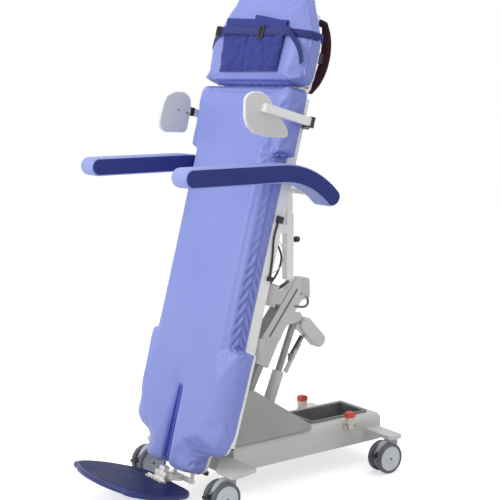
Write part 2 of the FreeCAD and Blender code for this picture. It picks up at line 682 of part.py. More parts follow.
tilt_bracket = doc.addObject("PartDesign::Body", "tilt_plate")
bracket_side = [(0, 728), (100, 712), (250, 690), (250, 757), (130, 757), (30, 789), (-21.8, 755, 1, 791)]
pad(tilt_bracket, "YZ_Plane", [bracket_side], 52, middle=True)
pocket(tilt_bracket, "YZ_Plane", [], None, shift=-200, reverse=True,
       circles=[(("pivot_y", "pivot_z"), "pivot_r + 0.05")])
finish(cut("bracket_cut", tilt_bracket, arm_space), "tilt_bracket")

motor_pieces = [cylinder("flange", 27, 14, Placement()), cylinder("can", 23, 77, upright(0, 0, 12)),
                block("motor_foot", 14, 24, 14, upright(-27, -12, 0))]
finish(fuse("motor_solid", motor_pieces), "column_motor", Placement(Vector(53, 80, 711), Rotation(X, -20)))

# Lifting actuator, in its own directions; its top eye is the opened pivot
tube_outer = fuse("tube_outer", [cylinder("tube_barrel", "ram_r", 298, upright(0, 0, 14)),
                                 cylinder("tube_eye", 18, 40, across(-20, 0, 0))])
tube_inner = fuse("tube_inner", [cylinder("ram_bore", "rod_r + 0.3", 330, upright(0, 0, 24)),
                                 cylinder("eye_bore", 7.05, 60, across(-30, 0, 0))])
finish(cut("tube_bored", tube_outer, tube_inner), "ram_tube", on_ram)

rod_outer = fuse("rod_outer", [cylinder("rod_barrel", "rod_r", 480, upright(0, 0, 60)),
                               cylinder("rod_eye", 17, 30, across(-15, 0, 547))])
rod_solid = cut("rod_bored", rod_outer, cylinder("rod_eye_bore", 10, 60, across(-30, 0, 547)))

pill = doc.addObject("PartDesign::Body", "ram_motor_shell")
pill_turn = math.atan2(526 - 485, 145 - 54)
pill_up = (30 * math.sin(pill_turn), 30 * math.cos(pill_turn))
pill_on = (30 * math.cos(pill_turn), -30 * math.sin(pill_turn))
pill_side = [
    (54 - pill_on[0] - pill_up[0], 526 - pill_on[1] - pill_up[1]),
    (145 + pill_on[0] - pill_up[0], 485 + pill_on[1] - pill_up[1]),
    (145 + pill_on[0] + pill_up[0], 485 + pill_on[1] + pill_up[1]),
    (54 - pill_on[0] + pill_up[0], 526 - pill_on[1] + pill_up[1]),
]
pad(pill, "YZ_Plane", [pill_side], 50, middle=True)
round_edges(pill, 29, lambda edge: along(edge, X))
round_edges(pill, 6, lambda edge: in_plane(edge, 0, 25.0) or in_plane(edge, 0, -25.0))
neck = block("neck", 26, 40, 26, upright(-13, 8, 494))
neck_space = cylinder("neck_space", "rod_r + 0.05", 560, upright(0, 0, 60))
eye_space = cylinder("eye_space", 17.05, 31, across(-15.5, 0, 547))
neck_cut = cut("neck_cut", neck, fuse("neck_tools", [neck_space, eye_space]))
finish(fuse("ram_motor_solid", [pill, neck_cut]), "ram_motor", on_ram)

ram_inverse = on_ram.inverse()
conduit_points = [ram_inverse.multVec(Vector(0, y, z)) for y, z in ((210, 413), (281, 521), (312, 562))]
motor_space = fuse("motor_space", [pill, neck])
conduit = fuse("conduit", [round_bar("conduit_tube", 9, conduit_points[0], conduit_points[1]),
                           round_bar("conduit_rod", 6, conduit_points[1], conduit_points[2])])
finish(group("rod_and_conduit", [rod_solid, cut("conduit_cut", conduit, motor_space)]), "ram_rod", on_ram)

# Post on the table, and the telescopic mast with its crossbar
post = doc.addObject("PartDesign::Body", "post_tube")
half_post = "post_wide / 2"
pad(post, "XY_Plane", [box_outline("post_x - " + half_post, "post_y - " + half_post, "post_x + " + half_post,
                                   "post_y + " + half_post)], "post_high - post_low", shift="post_low")
pocket(post, "XY_Plane", [box_outline("post_x - mast_wide / 2 - 0.3", "post_y - mast_wide / 2 - 0.3",
                                      "post_x + mast_wide / 2 + 0.3", "post_y + mast_wide / 2 + 0.3")],
       400, shift="post_low + 6", reverse=True)
arm_to_post = doc.addObject("PartDesign::Body", "post_arm")
pad(arm_to_post, "YZ_Plane", [[(-60, 1000), (149, 1000), (149, 1032), (-60, 1032)]], 34, shift="post_x - 17")
frame_corner = Vector(-350, value_of(board_rear + " + rail_deep") - 400, 0)
frame_space = block("frame_space", 700, 400, 1700, Placement(on_table.multVec(frame_corner), lean))
post_solid = fuse("post_solid", [post, cut("post_arm_cut", arm_to_post, frame_space)])
knob_hole = round_bar("knob_hole", 5.05, (70, 175, 968), (70, 190, 968))
finish(cut("post_bored", post_solid, knob_hole), "armrest_post")

mast_pieces = [
    block("mast", 26, 26, 270, upright(57, 152, 930)),
    cylinder("crossbar", "bar_r", 660, across(-330, value_of("bar_y"), value_of("bar_z"))),
    block("mast_clamp", 40, 36, 38, upright(50, 102, 1162)),
    block("mast_bridge", 40, 68, 14, upright(50, 110, 1186)),
]
finish(fuse("mast_solid", mast_pieces), "armrest_mast")

knob_grip = doc.addObject("PartDesign::Body", "knob_grip")
spin(knob_grip, [(16, 0), (16, 8), (22, 12), (37, 12), (41, 9), (41, 0)])
knob_grip.Placement = Placement(Vector(), Rotation(X, Y))
knob_stem = round_bar("knob_stem", 5, (0, 2, 0), (0, 16, 0))
finish(fuse("knob_solid", [knob_grip, knob_stem]), "post_lock_knob", upright(70, 179, 968))

# Armrests: straight pad that turns down at the rear, with side panels
bend = math.radians(value_of("arm_turn"))
curve = value_of("arm_curve")
bend_y, mid_z = value_of("arm_bend"), value_of("arm_z")
centre_z = mid_z - curve


def on_curve(radius, angle):
    return (bend_y + radius * math.sin(angle), centre_z + radius * math.cos(angle))


half_tall = value_of("arm_tall / 2")
rest_side = [
    on_curve(curve - half_tall, bend), (bend_y, mid_z - half_tall) + on_curve(curve - half_tall, bend / 2),
    (value_of("arm_tip") + 24, mid_z - half_tall),
    (value_of("arm_tip") + 24, mid_z + half_tall, value_of("arm_tip"), mid_z),
    (bend_y, mid_z + half_tall), on_curve(curve + half_tall, bend) + on_curve(curve + half_tall, bend / 2),
]
for side, word in ((1, "right"), (-1, "left")):
    core = new_body("armrest_%s_core" % word)
    low = "arm_inner + 6" if side > 0 else "-(arm_inner + arm_wide - 6)"
    pad(core, "YZ_Plane", [rest_side], "arm_wide - 12", shift=low)
    bar_hole = (("bar_y", "bar_z"), "bar_r + 0.1")
    pocket(core, "YZ_Plane", [], 52, shift=280 if side > 0 else -332, reverse=True, circles=[bar_hole])
    round_edges(core, 27, lambda edge: along(edge, X) and edge.CenterOfMass.y > 120
                and abs(edge.Length - value_of("arm_wide - 12")) < 0.01)
    panels = []
    for start in ("arm_inner", "arm_inner + arm_wide - 6"):
        panel = doc.addObject("PartDesign::Body", "armrest_panel")
        place = start if side > 0 else "-(%s + 6)" % start
        pad(panel, "YZ_Plane", [rest_side], 6, shift=place)
        if start == "arm_inner":
            pocket(panel, "YZ_Plane", [], None, shift=-500, reverse=True, circles=[bar_hole])
        round_edges(panel, 27, lambda edge: along(edge, X) and edge.CenterOfMass.y > 120
                    and abs(edge.Length - 6) < 0.01)
        panels.append(panel)
    finish(group("armrest_panels", panels), "armrest_%s_panels" % word)

# Thorax supports: clamp on the rail, square bar through it, flat pad
for side, word in ((1, "right"), (-1, "left")):
    clamp = new_body("thorax_clamp_" + word, on_table)
    outline = [(254.4, 99), (313, 99), (313, 87), (351, 87), (351, 100), (340, 112), (290, 112), (275, 142),
               (228, 142), (228, 132.5), (254.4, 132.5)]
    if side < 0:
        outline = [(-a, b) for a, b in outline]
    pad(clamp, "XY_Plane", [outline], 38, shift="side_v - 19")
    hole_low = "side_bar_x - side_bar / 2 - 0.2" if side > 0 else "-(side_bar_x + side_bar / 2 + 0.2)"
    hole_high = "side_bar_x + side_bar / 2 + 0.2" if side > 0 else "-(side_bar_x - side_bar / 2 - 0.2)"
    hole = box_outline(hole_low, "side_v - side_bar / 2 - 0.2", hole_high, "side_v + side_bar / 2 + 0.2")
    pocket(clamp, "XZ_Plane", [hole], None, shift=-60)
    bar_low = "side_bar_x - side_bar / 2" if side > 0 else "-(side_bar_x + side_bar / 2)"
    bar = slab("thorax_bar", bar_low, "side_bar", "-side_front", "side_front + side_rear",
               "side_v - side_bar / 2", "side_bar")
    finish(bar, "thorax_bar_" + word)
    doc.recompute()
    bar.setExpression("Placement.Base.x", None)
    bar.setExpression("Placement.Base.y", None)
    bar.setExpression("Placement.Base.z", None)
    bar.Placement = on_table.multiply(bar.Placement)
    support = new_body("thorax_pad_" + word, on_table)
    if side > 0:
        face = [(-194, 1330), (-194, 1438), (-92, 1438), (38, 1338), (34, 1292), (-120, 1274), (-165, 1282)]
    else:
        face = [(-153, 1262), (-153, 1350), (-130, 1445), (-22, 1445), (-9, 1275)]
    low = "side_bar_x - side_bar / 2 - side_pad_thick" if side > 0 else "-(side_bar_x - side_bar / 2)"
    pad(support, "YZ_Plane", [face], "side_pad_thick", shift=low)
    round_edges(support, 26 if side > 0 else 28, lambda edge: along(edge, X))

# Head section: board, frame, push handles
head_board = new_body("head_board", on_table)
board_top = [("head_half - torso_inset", "head_low + 4"), ("head_half - torso_inset", "head_taper - 6"),
             ("head_crown - 12", "head_top - 12")]
pad(head_board, "XZ_Plane", [mirror_outline(board_top)], "board_thick", shift="-mattress_thick",
    reverse=True)
for place in board_top:
    radius = {0: 40, 1: 160, 2: 60}[board_top.index(place)]
    round_corners(head_board, [(place[0], place[1], radius)])

head_bars = []
stud_spaces = []
stud_v = [value_of("grip_v") - 128, value_of("grip_v") + 128]
for side in (-1, 1):
    low = "grip_x - 11" if side > 0 else "-(grip_x + 11)"
    head_bars.append(slab("head_rail", low, 22, board_rear, 30, 1487, 303))
    for v in stud_v:
        stud_ends = ((side * value_of("grip_x"), 120, v), (side * value_of("grip_x"), 160, v))
        head_bars.append(round_bar("grip_stud", 9, *stud_ends))
        stud_spaces.append(round_bar("stud_space", 9, *stud_ends))
for v in (1530, 1756):
    head_bars.append(slab("head_cross", "-grip_x", "2 * grip_x", board_rear, 30, v, 26))
head_bore = cylinder("head_bore", 6.05, 600, across(-300, 112, 1497))
head_solid = cut("head_frame_bored", fuse("head_frame_welded", head_bars), head_bore)
finish(head_solid, "head_frame", on_table)

grips = []
stud_tool = fuse("stud_tool", stud_spaces)
for side in (-1, 1):
    ring = doc.addObject("Part::Torus", "grip_ring")
    bind(ring, "Radius1", "grip_curve")
    bind(ring, "Radius2", "grip_r")
    bind(ring, "Angle3", "grip_turn")
    ring_place = Vector(side * value_of("grip_x"), value_of("grip_y"), value_of("grip_v"))
    upended = Rotation(Y, Z, X, "ZXY")
    ring.Placement = Placement(ring_place, upended.multiply(Rotation(Z, -value_of("grip_turn / 2"))))
    grips.append(cut("grip_cut", ring, stud_tool))
finish(group("grip_pair", grips), "push_handles", on_table)

# Head strap: padded panel, band round the head section, buckle and tail
panel = new_body("strap_panel", on_table)
pad(panel, "XZ_Plane", [[(-198, 1760), (-170, 1539), (200, 1540), (207, 1735)]], "panel_thick", shift=0.4)
round_edges(panel, 10, lambda edge: along(edge, Y))

band = doc.addObject("PartDesign::Body", "strap_band")
band_half = 313
band_outside = [(-240, 100.4), (-band_half, 100.4), (-band_half, -10.8),
                (band_half, -10.8), (band_half, 100.4), (240, 100.4)]
band_inside = [(240, 98.4), (band_half - 2, 98.4), (band_half - 2, -8.8),
               (2 - band_half, -8.8), (2 - band_half, 98.4), (-240, 98.4)]
pad(band, "XY_Plane", [band_outside + band_inside], "band_wide", shift="band_v - band_wide / 2")
tail = doc.addObject("PartDesign::Body", "strap_tail")
pad(tail, "XZ_Plane", [[(222, 1703), (244, 1718), (346, 1590), (324, 1573)]], "band_thick", shift=11.2)
buckle = block("buckle", 34, 4, 50, upright(53, -14.8, 1680))
adjuster = block("adjuster", 26, 4, 44, upright(-248, -14.8, 1678))
finish(group("strap_pieces", [band, tail]), "strap_webbing", on_table)
finish(group("strap_hardware_pair", [buckle, adjuster]), "strap_hardware", on_table)

# Footplate: sliding bracket with guide rods, hinge, and the padded plate
bracket_block = block("foot_block", 150, 120, 33.6, upright(-75, 2, -59.6))
hinge_lug = block("hinge_lug", 58, 12, 12, upright(-29, -8, -59.6))
barrel = cylinder("hinge_barrel", 6, 58, across(-29, -8, -53.6))
guide_rods = [cylinder("guide_rod", 8, 390, upright(side * 60, 112, -40)) for side in (-1, 1)]
foot_welded = fuse("foot_bracket_welded", [bracket_block, hinge_lug, barrel] + guide_rods)
foot_bore_x = cylinder("hinge_bore", 3.05, 200, across(-100, -8, -53.6))
foot_solid = cut("foot_bracket_bored", foot_welded, foot_bore_x)
finish(foot_solid, "foot_bracket", on_table)

plate_half_outline = [
    (130, 55), (215, -30, 182, 25), (248, -150, 240, -85), (225, -235, 242, -196), (170, -268, 204, -260),
    (0, -303, 90, -295),
]
plate_outline = plate_half_outline + [
    (-170, -268, -90, -295), (-225, -235, -204, -260), (-248, -150, -242, -196), (-215, -30, -240, -85),
    (-130, 55, -182, 25),
]
plate = doc.addObject("PartDesign::Body", "foot_plate")
pad(plate, "XY_Plane", [plate_outline], "plate_thick", shift="plate_v - plate_thick")
tread_outline = [
    (203, -24), (239, -150, 231, -88), (217, -230, 233, -193), (166, -259, 197, -251), (0, -294, 88, -286),
    (-166, -259, -88, -286), (-217, -230, -197, -251), (-239, -150, -233, -193), (-203, -24, -231, -88),
]
pocket(plate, "XY_Plane", [tread_outline], "tread_deep", shift="plate_v")
leaves = []
for low in (-60, 29.4):
    leaves.append(cylinder("leaf_barrel", 6, 30.6, across(low, -8, -53.6)))
    leaves.append(block("leaf", 30.6, 12, 6.4, upright(low, -14, -60)))
leaf_solid = fuse("leaf_solid", leaves + [cylinder("hinge_pin", 3, 120, across(-60, -8, -53.6))])
finish(plate, "footplate", on_table)
finish(leaf_solid, "footplate_hinge", on_table)

# The origin lies on the floor under the middle of the whole table
doc.recompute()
for piece in subparts:
    piece.Placement = upright(0, value_of("origin_shift"), 0).multiply(piece.Placement)

# Every object must be sound before anything is written
doc.recompute()
faulty = [thing.Name for thing in doc.Objects if "Invalid" in thing.State or "Error" in thing.State]
for piece in subparts:
    if piece.Shape.isNull() or not piece.Shape.isValid() or not piece.Shape.Solids:
        faulty.append(piece.Label)
if faulty:
    raise RuntimeError("not sound: " + ", ".join(faulty))

os.makedirs("parts", exist_ok=True)
for piece in subparts:
    piece.Shape.exportStep("parts/%s.step" % piece.Label)
whole = Part.makeCompound([piece.Shape for piece in subparts]).BoundBox
spans = [round(whole.XLength), round(whole.YLength), round(whole.ZLength)]
print(len(subparts), "sub-parts, spans in mm:", spans)
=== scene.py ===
import bpy
import json
import math
from mathutils import Matrix, Vector, noise


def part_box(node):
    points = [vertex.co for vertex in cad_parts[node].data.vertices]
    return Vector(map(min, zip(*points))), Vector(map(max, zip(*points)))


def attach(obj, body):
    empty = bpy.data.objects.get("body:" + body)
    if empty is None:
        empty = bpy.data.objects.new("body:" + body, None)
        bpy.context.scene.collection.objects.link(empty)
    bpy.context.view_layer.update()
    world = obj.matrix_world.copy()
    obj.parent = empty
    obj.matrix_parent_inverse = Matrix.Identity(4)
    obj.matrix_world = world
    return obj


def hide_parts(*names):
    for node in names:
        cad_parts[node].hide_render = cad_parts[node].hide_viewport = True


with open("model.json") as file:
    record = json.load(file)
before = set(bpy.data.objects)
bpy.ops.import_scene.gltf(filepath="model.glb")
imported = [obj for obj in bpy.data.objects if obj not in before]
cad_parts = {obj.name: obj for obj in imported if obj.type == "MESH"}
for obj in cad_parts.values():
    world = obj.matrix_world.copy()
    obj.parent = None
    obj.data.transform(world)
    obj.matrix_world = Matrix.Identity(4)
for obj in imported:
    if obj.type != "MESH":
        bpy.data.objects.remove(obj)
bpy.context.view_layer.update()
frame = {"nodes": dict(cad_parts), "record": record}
nodes = frame["nodes"]
print("frame loaded,", len(nodes), "nodes")

# the table's own directions: x across, y out of the back, z up towards the head
table = {"foot": (0.0, -0.3427, 0.138), "lean": -15.1}
onTable = Matrix.Translation(table["foot"]) @ Matrix.Rotation(math.radians(table["lean"]), 4, "X")
offTable = onTable.inverted()


def pickOnly(piece):
    if bpy.context.object and bpy.context.object.mode != "OBJECT":
        bpy.ops.object.mode_set(mode="OBJECT")
    bpy.ops.object.select_all(action="DESELECT")
    piece.select_set(True)
    bpy.context.view_layer.objects.active = piece


def editAll():
    bpy.ops.object.mode_set(mode="EDIT")
    bpy.ops.mesh.select_all(action="SELECT")


def freeze(piece):
    pickOnly(piece)
    bpy.ops.object.transform_apply(location=True, rotation=True, scale=True)


def place(piece, matrix):
    piece.matrix_world = matrix @ piece.matrix_world
    bpy.context.view_layer.update()
    freeze(piece)


def useModifier(piece, kind, **values):
    pickOnly(piece)
    modifier = piece.modifiers.new(kind.title(), kind)
    for key, value in values.items():
        setattr(modifier, key, value)
    bpy.ops.object.modifier_apply(modifier=modifier.name)


def bevelEdges(piece, width, segments, angle=30):
    # edges that are sharper than the angle are rounded off
    useModifier(piece, "BEVEL", width=width, segments=segments, limit_method="ANGLE",
                angle_limit=math.radians(angle))


def smooth(piece, angle):
    pickOnly(piece)
    bpy.ops.object.shade_smooth_by_angle(angle=math.radians(angle))


def addPiece(piece, name, body, slot, *replaced):
    piece.name = name
    piece.data.materials.clear()
    piece.data.materials.append(finishes[slot])
    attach(piece, body)
    if replaced:
        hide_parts(*replaced)
    return piece


def recolour(piece, finish):
    piece.data.materials[0] = extraFinishes[finish]


def copyNode(nodeName, name):
    piece = bpy.data.objects.new(name, nodes[nodeName].data.copy())
    bpy.context.scene.collection.objects.link(piece)
    pickOnly(piece)
    editAll()
    bpy.ops.mesh.remove_doubles(threshold=0.00005)
    bpy.ops.mesh.dissolve_limited(angle_limit=math.radians(0.5))
    bpy.ops.object.mode_set(mode="OBJECT")
    return piece


def roundOutline(corners, radius, steps=4):
    # every corner (a, b) is cut back and rounded with a curve
    points = []
    for i, corner in enumerate(corners):
        here = Vector(corner)
        before = Vector(corners[i - 1]) - here
        after = Vector(corners[(i + 1) % len(corners)]) - here
        half = before.angle(after) / 2
        reach = min(radius / math.tan(half), before.length * 0.49, after.length * 0.49)
        start = here + before.normalized() * reach
        end = here + after.normalized() * reach
        for k in range(steps + 1):
            t = k / steps
            points.append(start * (1 - t) ** 2 + here * 2 * t * (1 - t) + end * t ** 2)
    return points


def slab(name, outline, depth, axes, low):
    # a flat outline pushed out to a plate; axes names the plane it is drawn in
    bpy.ops.mesh.primitive_circle_add(vertices=len(outline), fill_type="NGON")
    piece = bpy.context.object
    piece.name = name
    third = ({"X", "Y", "Z"} - set(axes)).pop()
    index = {"X": 0, "Y": 1, "Z": 2}
    for vertex, point in zip(piece.data.vertices, outline):
        spot = [0.0, 0.0, 0.0]
        spot[index[axes[0]]] = point[0]
        spot[index[axes[1]]] = point[1]
        spot[index[third]] = low
        vertex.co = spot
    push = [0.0, 0.0, 0.0]
    push[index[third]] = depth
    editAll()
    bpy.ops.mesh.extrude_region_move(TRANSFORM_OT_translate={"value": push})
    bpy.ops.mesh.select_all(action="SELECT")
    bpy.ops.mesh.normals_make_consistent(inside=False)
    bpy.ops.object.mode_set(mode="OBJECT")
    return piece


def lathe(name, profile, steps=48, axis="X", centre=(0, 0, 0)):
    # profile points are (along, radius); the ring is spun about the axis
    bpy.ops.mesh.primitive_circle_add(vertices=len(profile))
    piece = bpy.context.object
    piece.name = name
    for vertex, (run, radius) in zip(piece.data.vertices, profile):
        vertex.co = (run, radius, 0)
    editAll()
    bpy.ops.mesh.spin(steps=steps, angle=2 * math.pi, center=(0, 0, 0), axis=(1, 0, 0))
    bpy.ops.mesh.select_all(action="SELECT")
    bpy.ops.mesh.remove_doubles(threshold=0.00002)
    bpy.ops.mesh.normals_make_consistent(inside=False)
    bpy.ops.object.mode_set(mode="OBJECT")
    turn = {"X": Matrix.Identity(4), "Y": Matrix.Rotation(math.pi / 2, 4, "Z"),
            "Z": Matrix.Rotation(-math.pi / 2, 4, "Y")}
    place(piece, Matrix.Translation(centre) @ turn[axis])
    smooth(piece, 30)
    return piece


def joinPieces(name, pieces):
    pickOnly(pieces[0])
    for other in pieces[1:]:
        other.select_set(True)
    bpy.ops.object.join()
    pieces[0].name = name
    return pieces[0]


def tube(name, points, radius, matrix=None, sides=3, thin=None):
    # a round bar or cable along a smooth line; thin scales its radius from end to end
    line = bpy.data.curves.new(name, "CURVE")
    line.dimensions = "3D"
    spline = line.splines.new("NURBS")
    spline.points.add(len(points) - 1)
    for i, (knot, spot) in enumerate(zip(spline.points, points)):
        knot.co = (*spot, 1)
        knot.radius = thin[i] if thin else 1.0
    spline.order_u = 3
    spline.use_endpoint_u = True
    spline.resolution_u = 8
    line.bevel_depth = radius
    line.bevel_resolution = sides
    line.use_fill_caps = True
    piece = bpy.data.objects.new(name, line)
    bpy.context.scene.collection.objects.link(piece)
    pickOnly(piece)
    bpy.ops.object.convert(target="MESH")
    piece = bpy.context.object
    if matrix:
        place(piece, matrix)
    smooth(piece, 50)
    return piece


def softBox(name, low, high, edge, matrix=None):
    # a block between two corners with softened edges
    middle = [(a + b) / 2 for a, b in zip(low, high)]
    bpy.ops.mesh.primitive_cube_add(size=1, location=middle)
    piece = bpy.context.object
    piece.name = name
    piece.scale = [b - a for a, b in zip(low, high)]
    freeze(piece)
    editAll()
    bpy.ops.mesh.bevel(offset=edge, segments=2, affect="EDGES")
    bpy.ops.object.mode_set(mode="OBJECT")
    if matrix:
        place(piece, matrix)
    smooth(piece, 40)
    return piece


def patch(name, corners, steps, height, thick):
    # a piece of cloth between four (u, v) corners on the front of the table; height(a, b) lifts it
    bpy.ops.mesh.primitive_grid_add(x_subdivisions=steps[0], y_subdivisions=steps[1], size=1)
    piece = bpy.context.object
    piece.name = name
    lowLeft, lowRight, highRight, highLeft = [Vector(corner) for corner in corners]
    for vertex in piece.data.vertices:
        a, b = vertex.co.x + 0.5, vertex.co.y + 0.5
        spot = (lowLeft * (1 - a) + lowRight * a) * (1 - b) + (highLeft * (1 - a) + highRight * a) * b
        vertex.co = (spot.x, -height(a, b), spot.y)
    useModifier(piece, "SOLIDIFY", thickness=thick, offset=-1.0)
    place(piece, onTable)
    smooth(piece, 60)
    return piece


def ribbon(name, points, crosswise, width, thick, steps=6):
    # a flat strap along points, its width laid along one direction
    centres = []
    for i in range(len(points) - 1):
        before, here = Vector(points[max(i - 1, 0)]), Vector(points[i])
        there, after = Vector(points[i + 1]), Vector(points[min(i + 2, len(points) - 1)])
        for k in range(steps):
            t = k / steps
            bend = 2 * before - 5 * here + 4 * there - after
            twist = 3 * here - before - 3 * there + after
            centres.append(0.5 * (2 * here + (there - before) * t + bend * t ** 2 + twist * t ** 3))
    centres.append(Vector(points[-1]))
    bpy.ops.mesh.primitive_grid_add(x_subdivisions=len(centres) - 1, y_subdivisions=2, size=1)
    piece = bpy.context.object
    piece.name = name
    sideways = Vector(crosswise).normalized() * width
    for vertex in piece.data.vertices:
        i = round((vertex.co.x + 0.5) * (len(centres) - 1))
        vertex.co = centres[i] + sideways * vertex.co.y
    useModifier(piece, "SOLIDIFY", thickness=thick, offset=0.0)
    bevelEdges(piece, thick * 0.3, 1)
    place(piece, onTable)
    smooth(piece, 50)
    return piece


def window(value, low, high, soft):
    # 1 between low and high, and a soft run to 0 outside
    rise = min(max((value - low + soft) / soft, 0.0), 1.0)
    drop = min(max((high + soft - value) / soft, 0.0), 1.0)
    return rise * rise * (3 - 2 * rise) * drop * drop * (3 - 2 * drop)


def ripple(phase):
    # a wave that runs between 0 and 1
    return 0.5 + 0.5 * math.sin(phase)


# shader groups that several finishes share
def startGroup(name, inputs, outputs):
    group = bpy.data.node_groups.new(name, "ShaderNodeTree")
    for label, kind, value in inputs:
        socket = group.interface.new_socket(name=label, in_out="INPUT", socket_type=kind)
        if value is not None:
            socket.default_value = value
    for label, kind in outputs:
        group.interface.new_socket(name=label, in_out="OUTPUT", socket_type=kind)
    return group, group.nodes.new("NodeGroupInput"), group.nodes.new("NodeGroupOutput")


def makeMottle():
    # soft patches of two colours
    group, start, end = startGroup(
        "mottle", [("Vector", "NodeSocketVector", None), ("Scale", "NodeSocketFloat", 6.0),
                   ("Dark", "NodeSocketColor", (0, 0, 0, 1)), ("Light", "NodeSocketColor", (1, 1, 1, 1))],
        [("Color", "NodeSocketColor"), ("Mask", "NodeSocketFloat")])
    clouds = group.nodes.new("ShaderNodeTexNoise")
    clouds.inputs["Detail"].default_value = 4.0
    ramp = group.nodes.new("ShaderNodeMapRange")
    ramp.inputs["From Min"].default_value = 0.3
    ramp.inputs["From Max"].default_value = 0.7
    mix = group.nodes.new("ShaderNodeMix")
    mix.data_type = "RGBA"
    link = group.links.new
    link(start.outputs["Vector"], clouds.inputs["Vector"])
    link(start.outputs["Scale"], clouds.inputs["Scale"])
    link(clouds.outputs["Fac"], ramp.inputs["Value"])
    link(ramp.outputs["Result"], mix.inputs["Factor"])
    link(start.outputs["Dark"], mix.inputs["A"])
    link(start.outputs["Light"], mix.inputs["B"])
    link(mix.outputs["Result"], end.inputs["Color"])
    link(ramp.outputs["Result"], end.inputs["Mask"])
    return group


def makeGrain():
    # pebbled skin of vinyl, plastic and paint
    group, start, end = startGroup(
        "grain", [("Vector", "NodeSocketVector", None), ("Scale", "NodeSocketFloat", 400.0),
                  ("Pebble", "NodeSocketFloat", 0.5)], [("Height", "NodeSocketFloat")])
    cells = group.nodes.new("ShaderNodeTexVoronoi")
    cells.feature = "SMOOTH_F1"
    fine = group.nodes.new("ShaderNodeTexNoise")
    fine.inputs["Detail"].default_value = 3.0
    mix = group.nodes.new("ShaderNodeMix")
    link = group.links.new
    for texture in (cells, fine):
        link(start.outputs["Vector"], texture.inputs["Vector"])
        link(start.outputs["Scale"], texture.inputs["Scale"])
    link(start.outputs["Pebble"], mix.inputs["Factor"])
    link(fine.outputs["Fac"], mix.inputs["A"])
    link(cells.outputs["Distance"], mix.inputs["B"])
    link(mix.outputs["Result"], end.inputs["Height"])
    return group


def makeWeave():
    # crossed threads of webbing
    group, start, end = startGroup(
        "weave", [("Vector", "NodeSocketVector", None), ("Scale", "NodeSocketFloat", 300.0)],
        [("Height", "NodeSocketFloat"), ("Mask", "NodeSocketFloat")])
    link = group.links.new
    waves = []
    for direction in ("X", "Z"):
        wave = group.nodes.new("ShaderNodeTexWave")
        wave.bands_direction = direction
        wave.inputs["Distortion"].default_value = 0.6
        wave.inputs["Detail"].default_value = 1.0
        link(start.outputs["Vector"], wave.inputs["Vector"])
        link(start.outputs["Scale"], wave.inputs["Scale"])
        waves.append(wave)
    product = group.nodes.new("ShaderNodeMath")
    product.operation = "MULTIPLY"
    link(waves[0].outputs["Fac"], product.inputs[0])
    link(waves[1].outputs["Fac"], product.inputs[1])
    link(product.outputs["Value"], end.inputs["Height"])
    link(product.outputs["Value"], end.inputs["Mask"])
    return group


mottle, grain, weave = makeMottle(), makeGrain(), makeWeave()


# dark and light are the two colours, rough the range of roughness, spread the scale of the patches,
# bump and depth the relief, scale the fineness of its grain and pebble the share of round pebbles
def makeFinish(name, dark, light, rough, spread, bump, scale, pebble=0.5, depth=0.0004,
               metal=0.0, sheen=0.0, cloth=False, specular=0.5):
    material = bpy.data.materials.new(name)
    material.use_nodes = True
    tree = material.node_tree
    shader = tree.nodes["Principled BSDF"]
    link = tree.links.new
    spots = tree.nodes.new("ShaderNodeTexCoord")
    patches = tree.nodes.new("ShaderNodeGroup")
    patches.node_tree = mottle
    patches.inputs["Scale"].default_value = spread
    patches.inputs["Dark"].default_value = (*dark, 1)
    patches.inputs["Light"].default_value = (*light, 1)
    link(spots.outputs["Object"], patches.inputs["Vector"])
    link(patches.outputs["Color"], shader.inputs["Base Color"])
    shine = tree.nodes.new("ShaderNodeMapRange")
    shine.inputs["To Min"].default_value = rough[0]
    shine.inputs["To Max"].default_value = rough[1]
    link(patches.outputs["Mask"], shine.inputs["Value"])
    link(shine.outputs["Result"], shader.inputs["Roughness"])
    surface = tree.nodes.new("ShaderNodeGroup")
    surface.node_tree = weave if cloth else grain
    surface.inputs["Scale"].default_value = scale
    if not cloth:
        surface.inputs["Pebble"].default_value = pebble
    link(spots.outputs["Object"], surface.inputs["Vector"])
    relief = tree.nodes.new("ShaderNodeBump")
    relief.inputs["Strength"].default_value = bump
    relief.inputs["Distance"].default_value = depth
    link(surface.outputs["Height"], relief.inputs["Height"])
    link(relief.outputs["Normal"], shader.inputs["Normal"])
    for label, value in {"Metallic": metal, "Sheen Weight": sheen, "Specular IOR Level": specular}.items():
        shader.inputs[label].default_value = value
    return material


def grey(level):
    return (level, level, level)


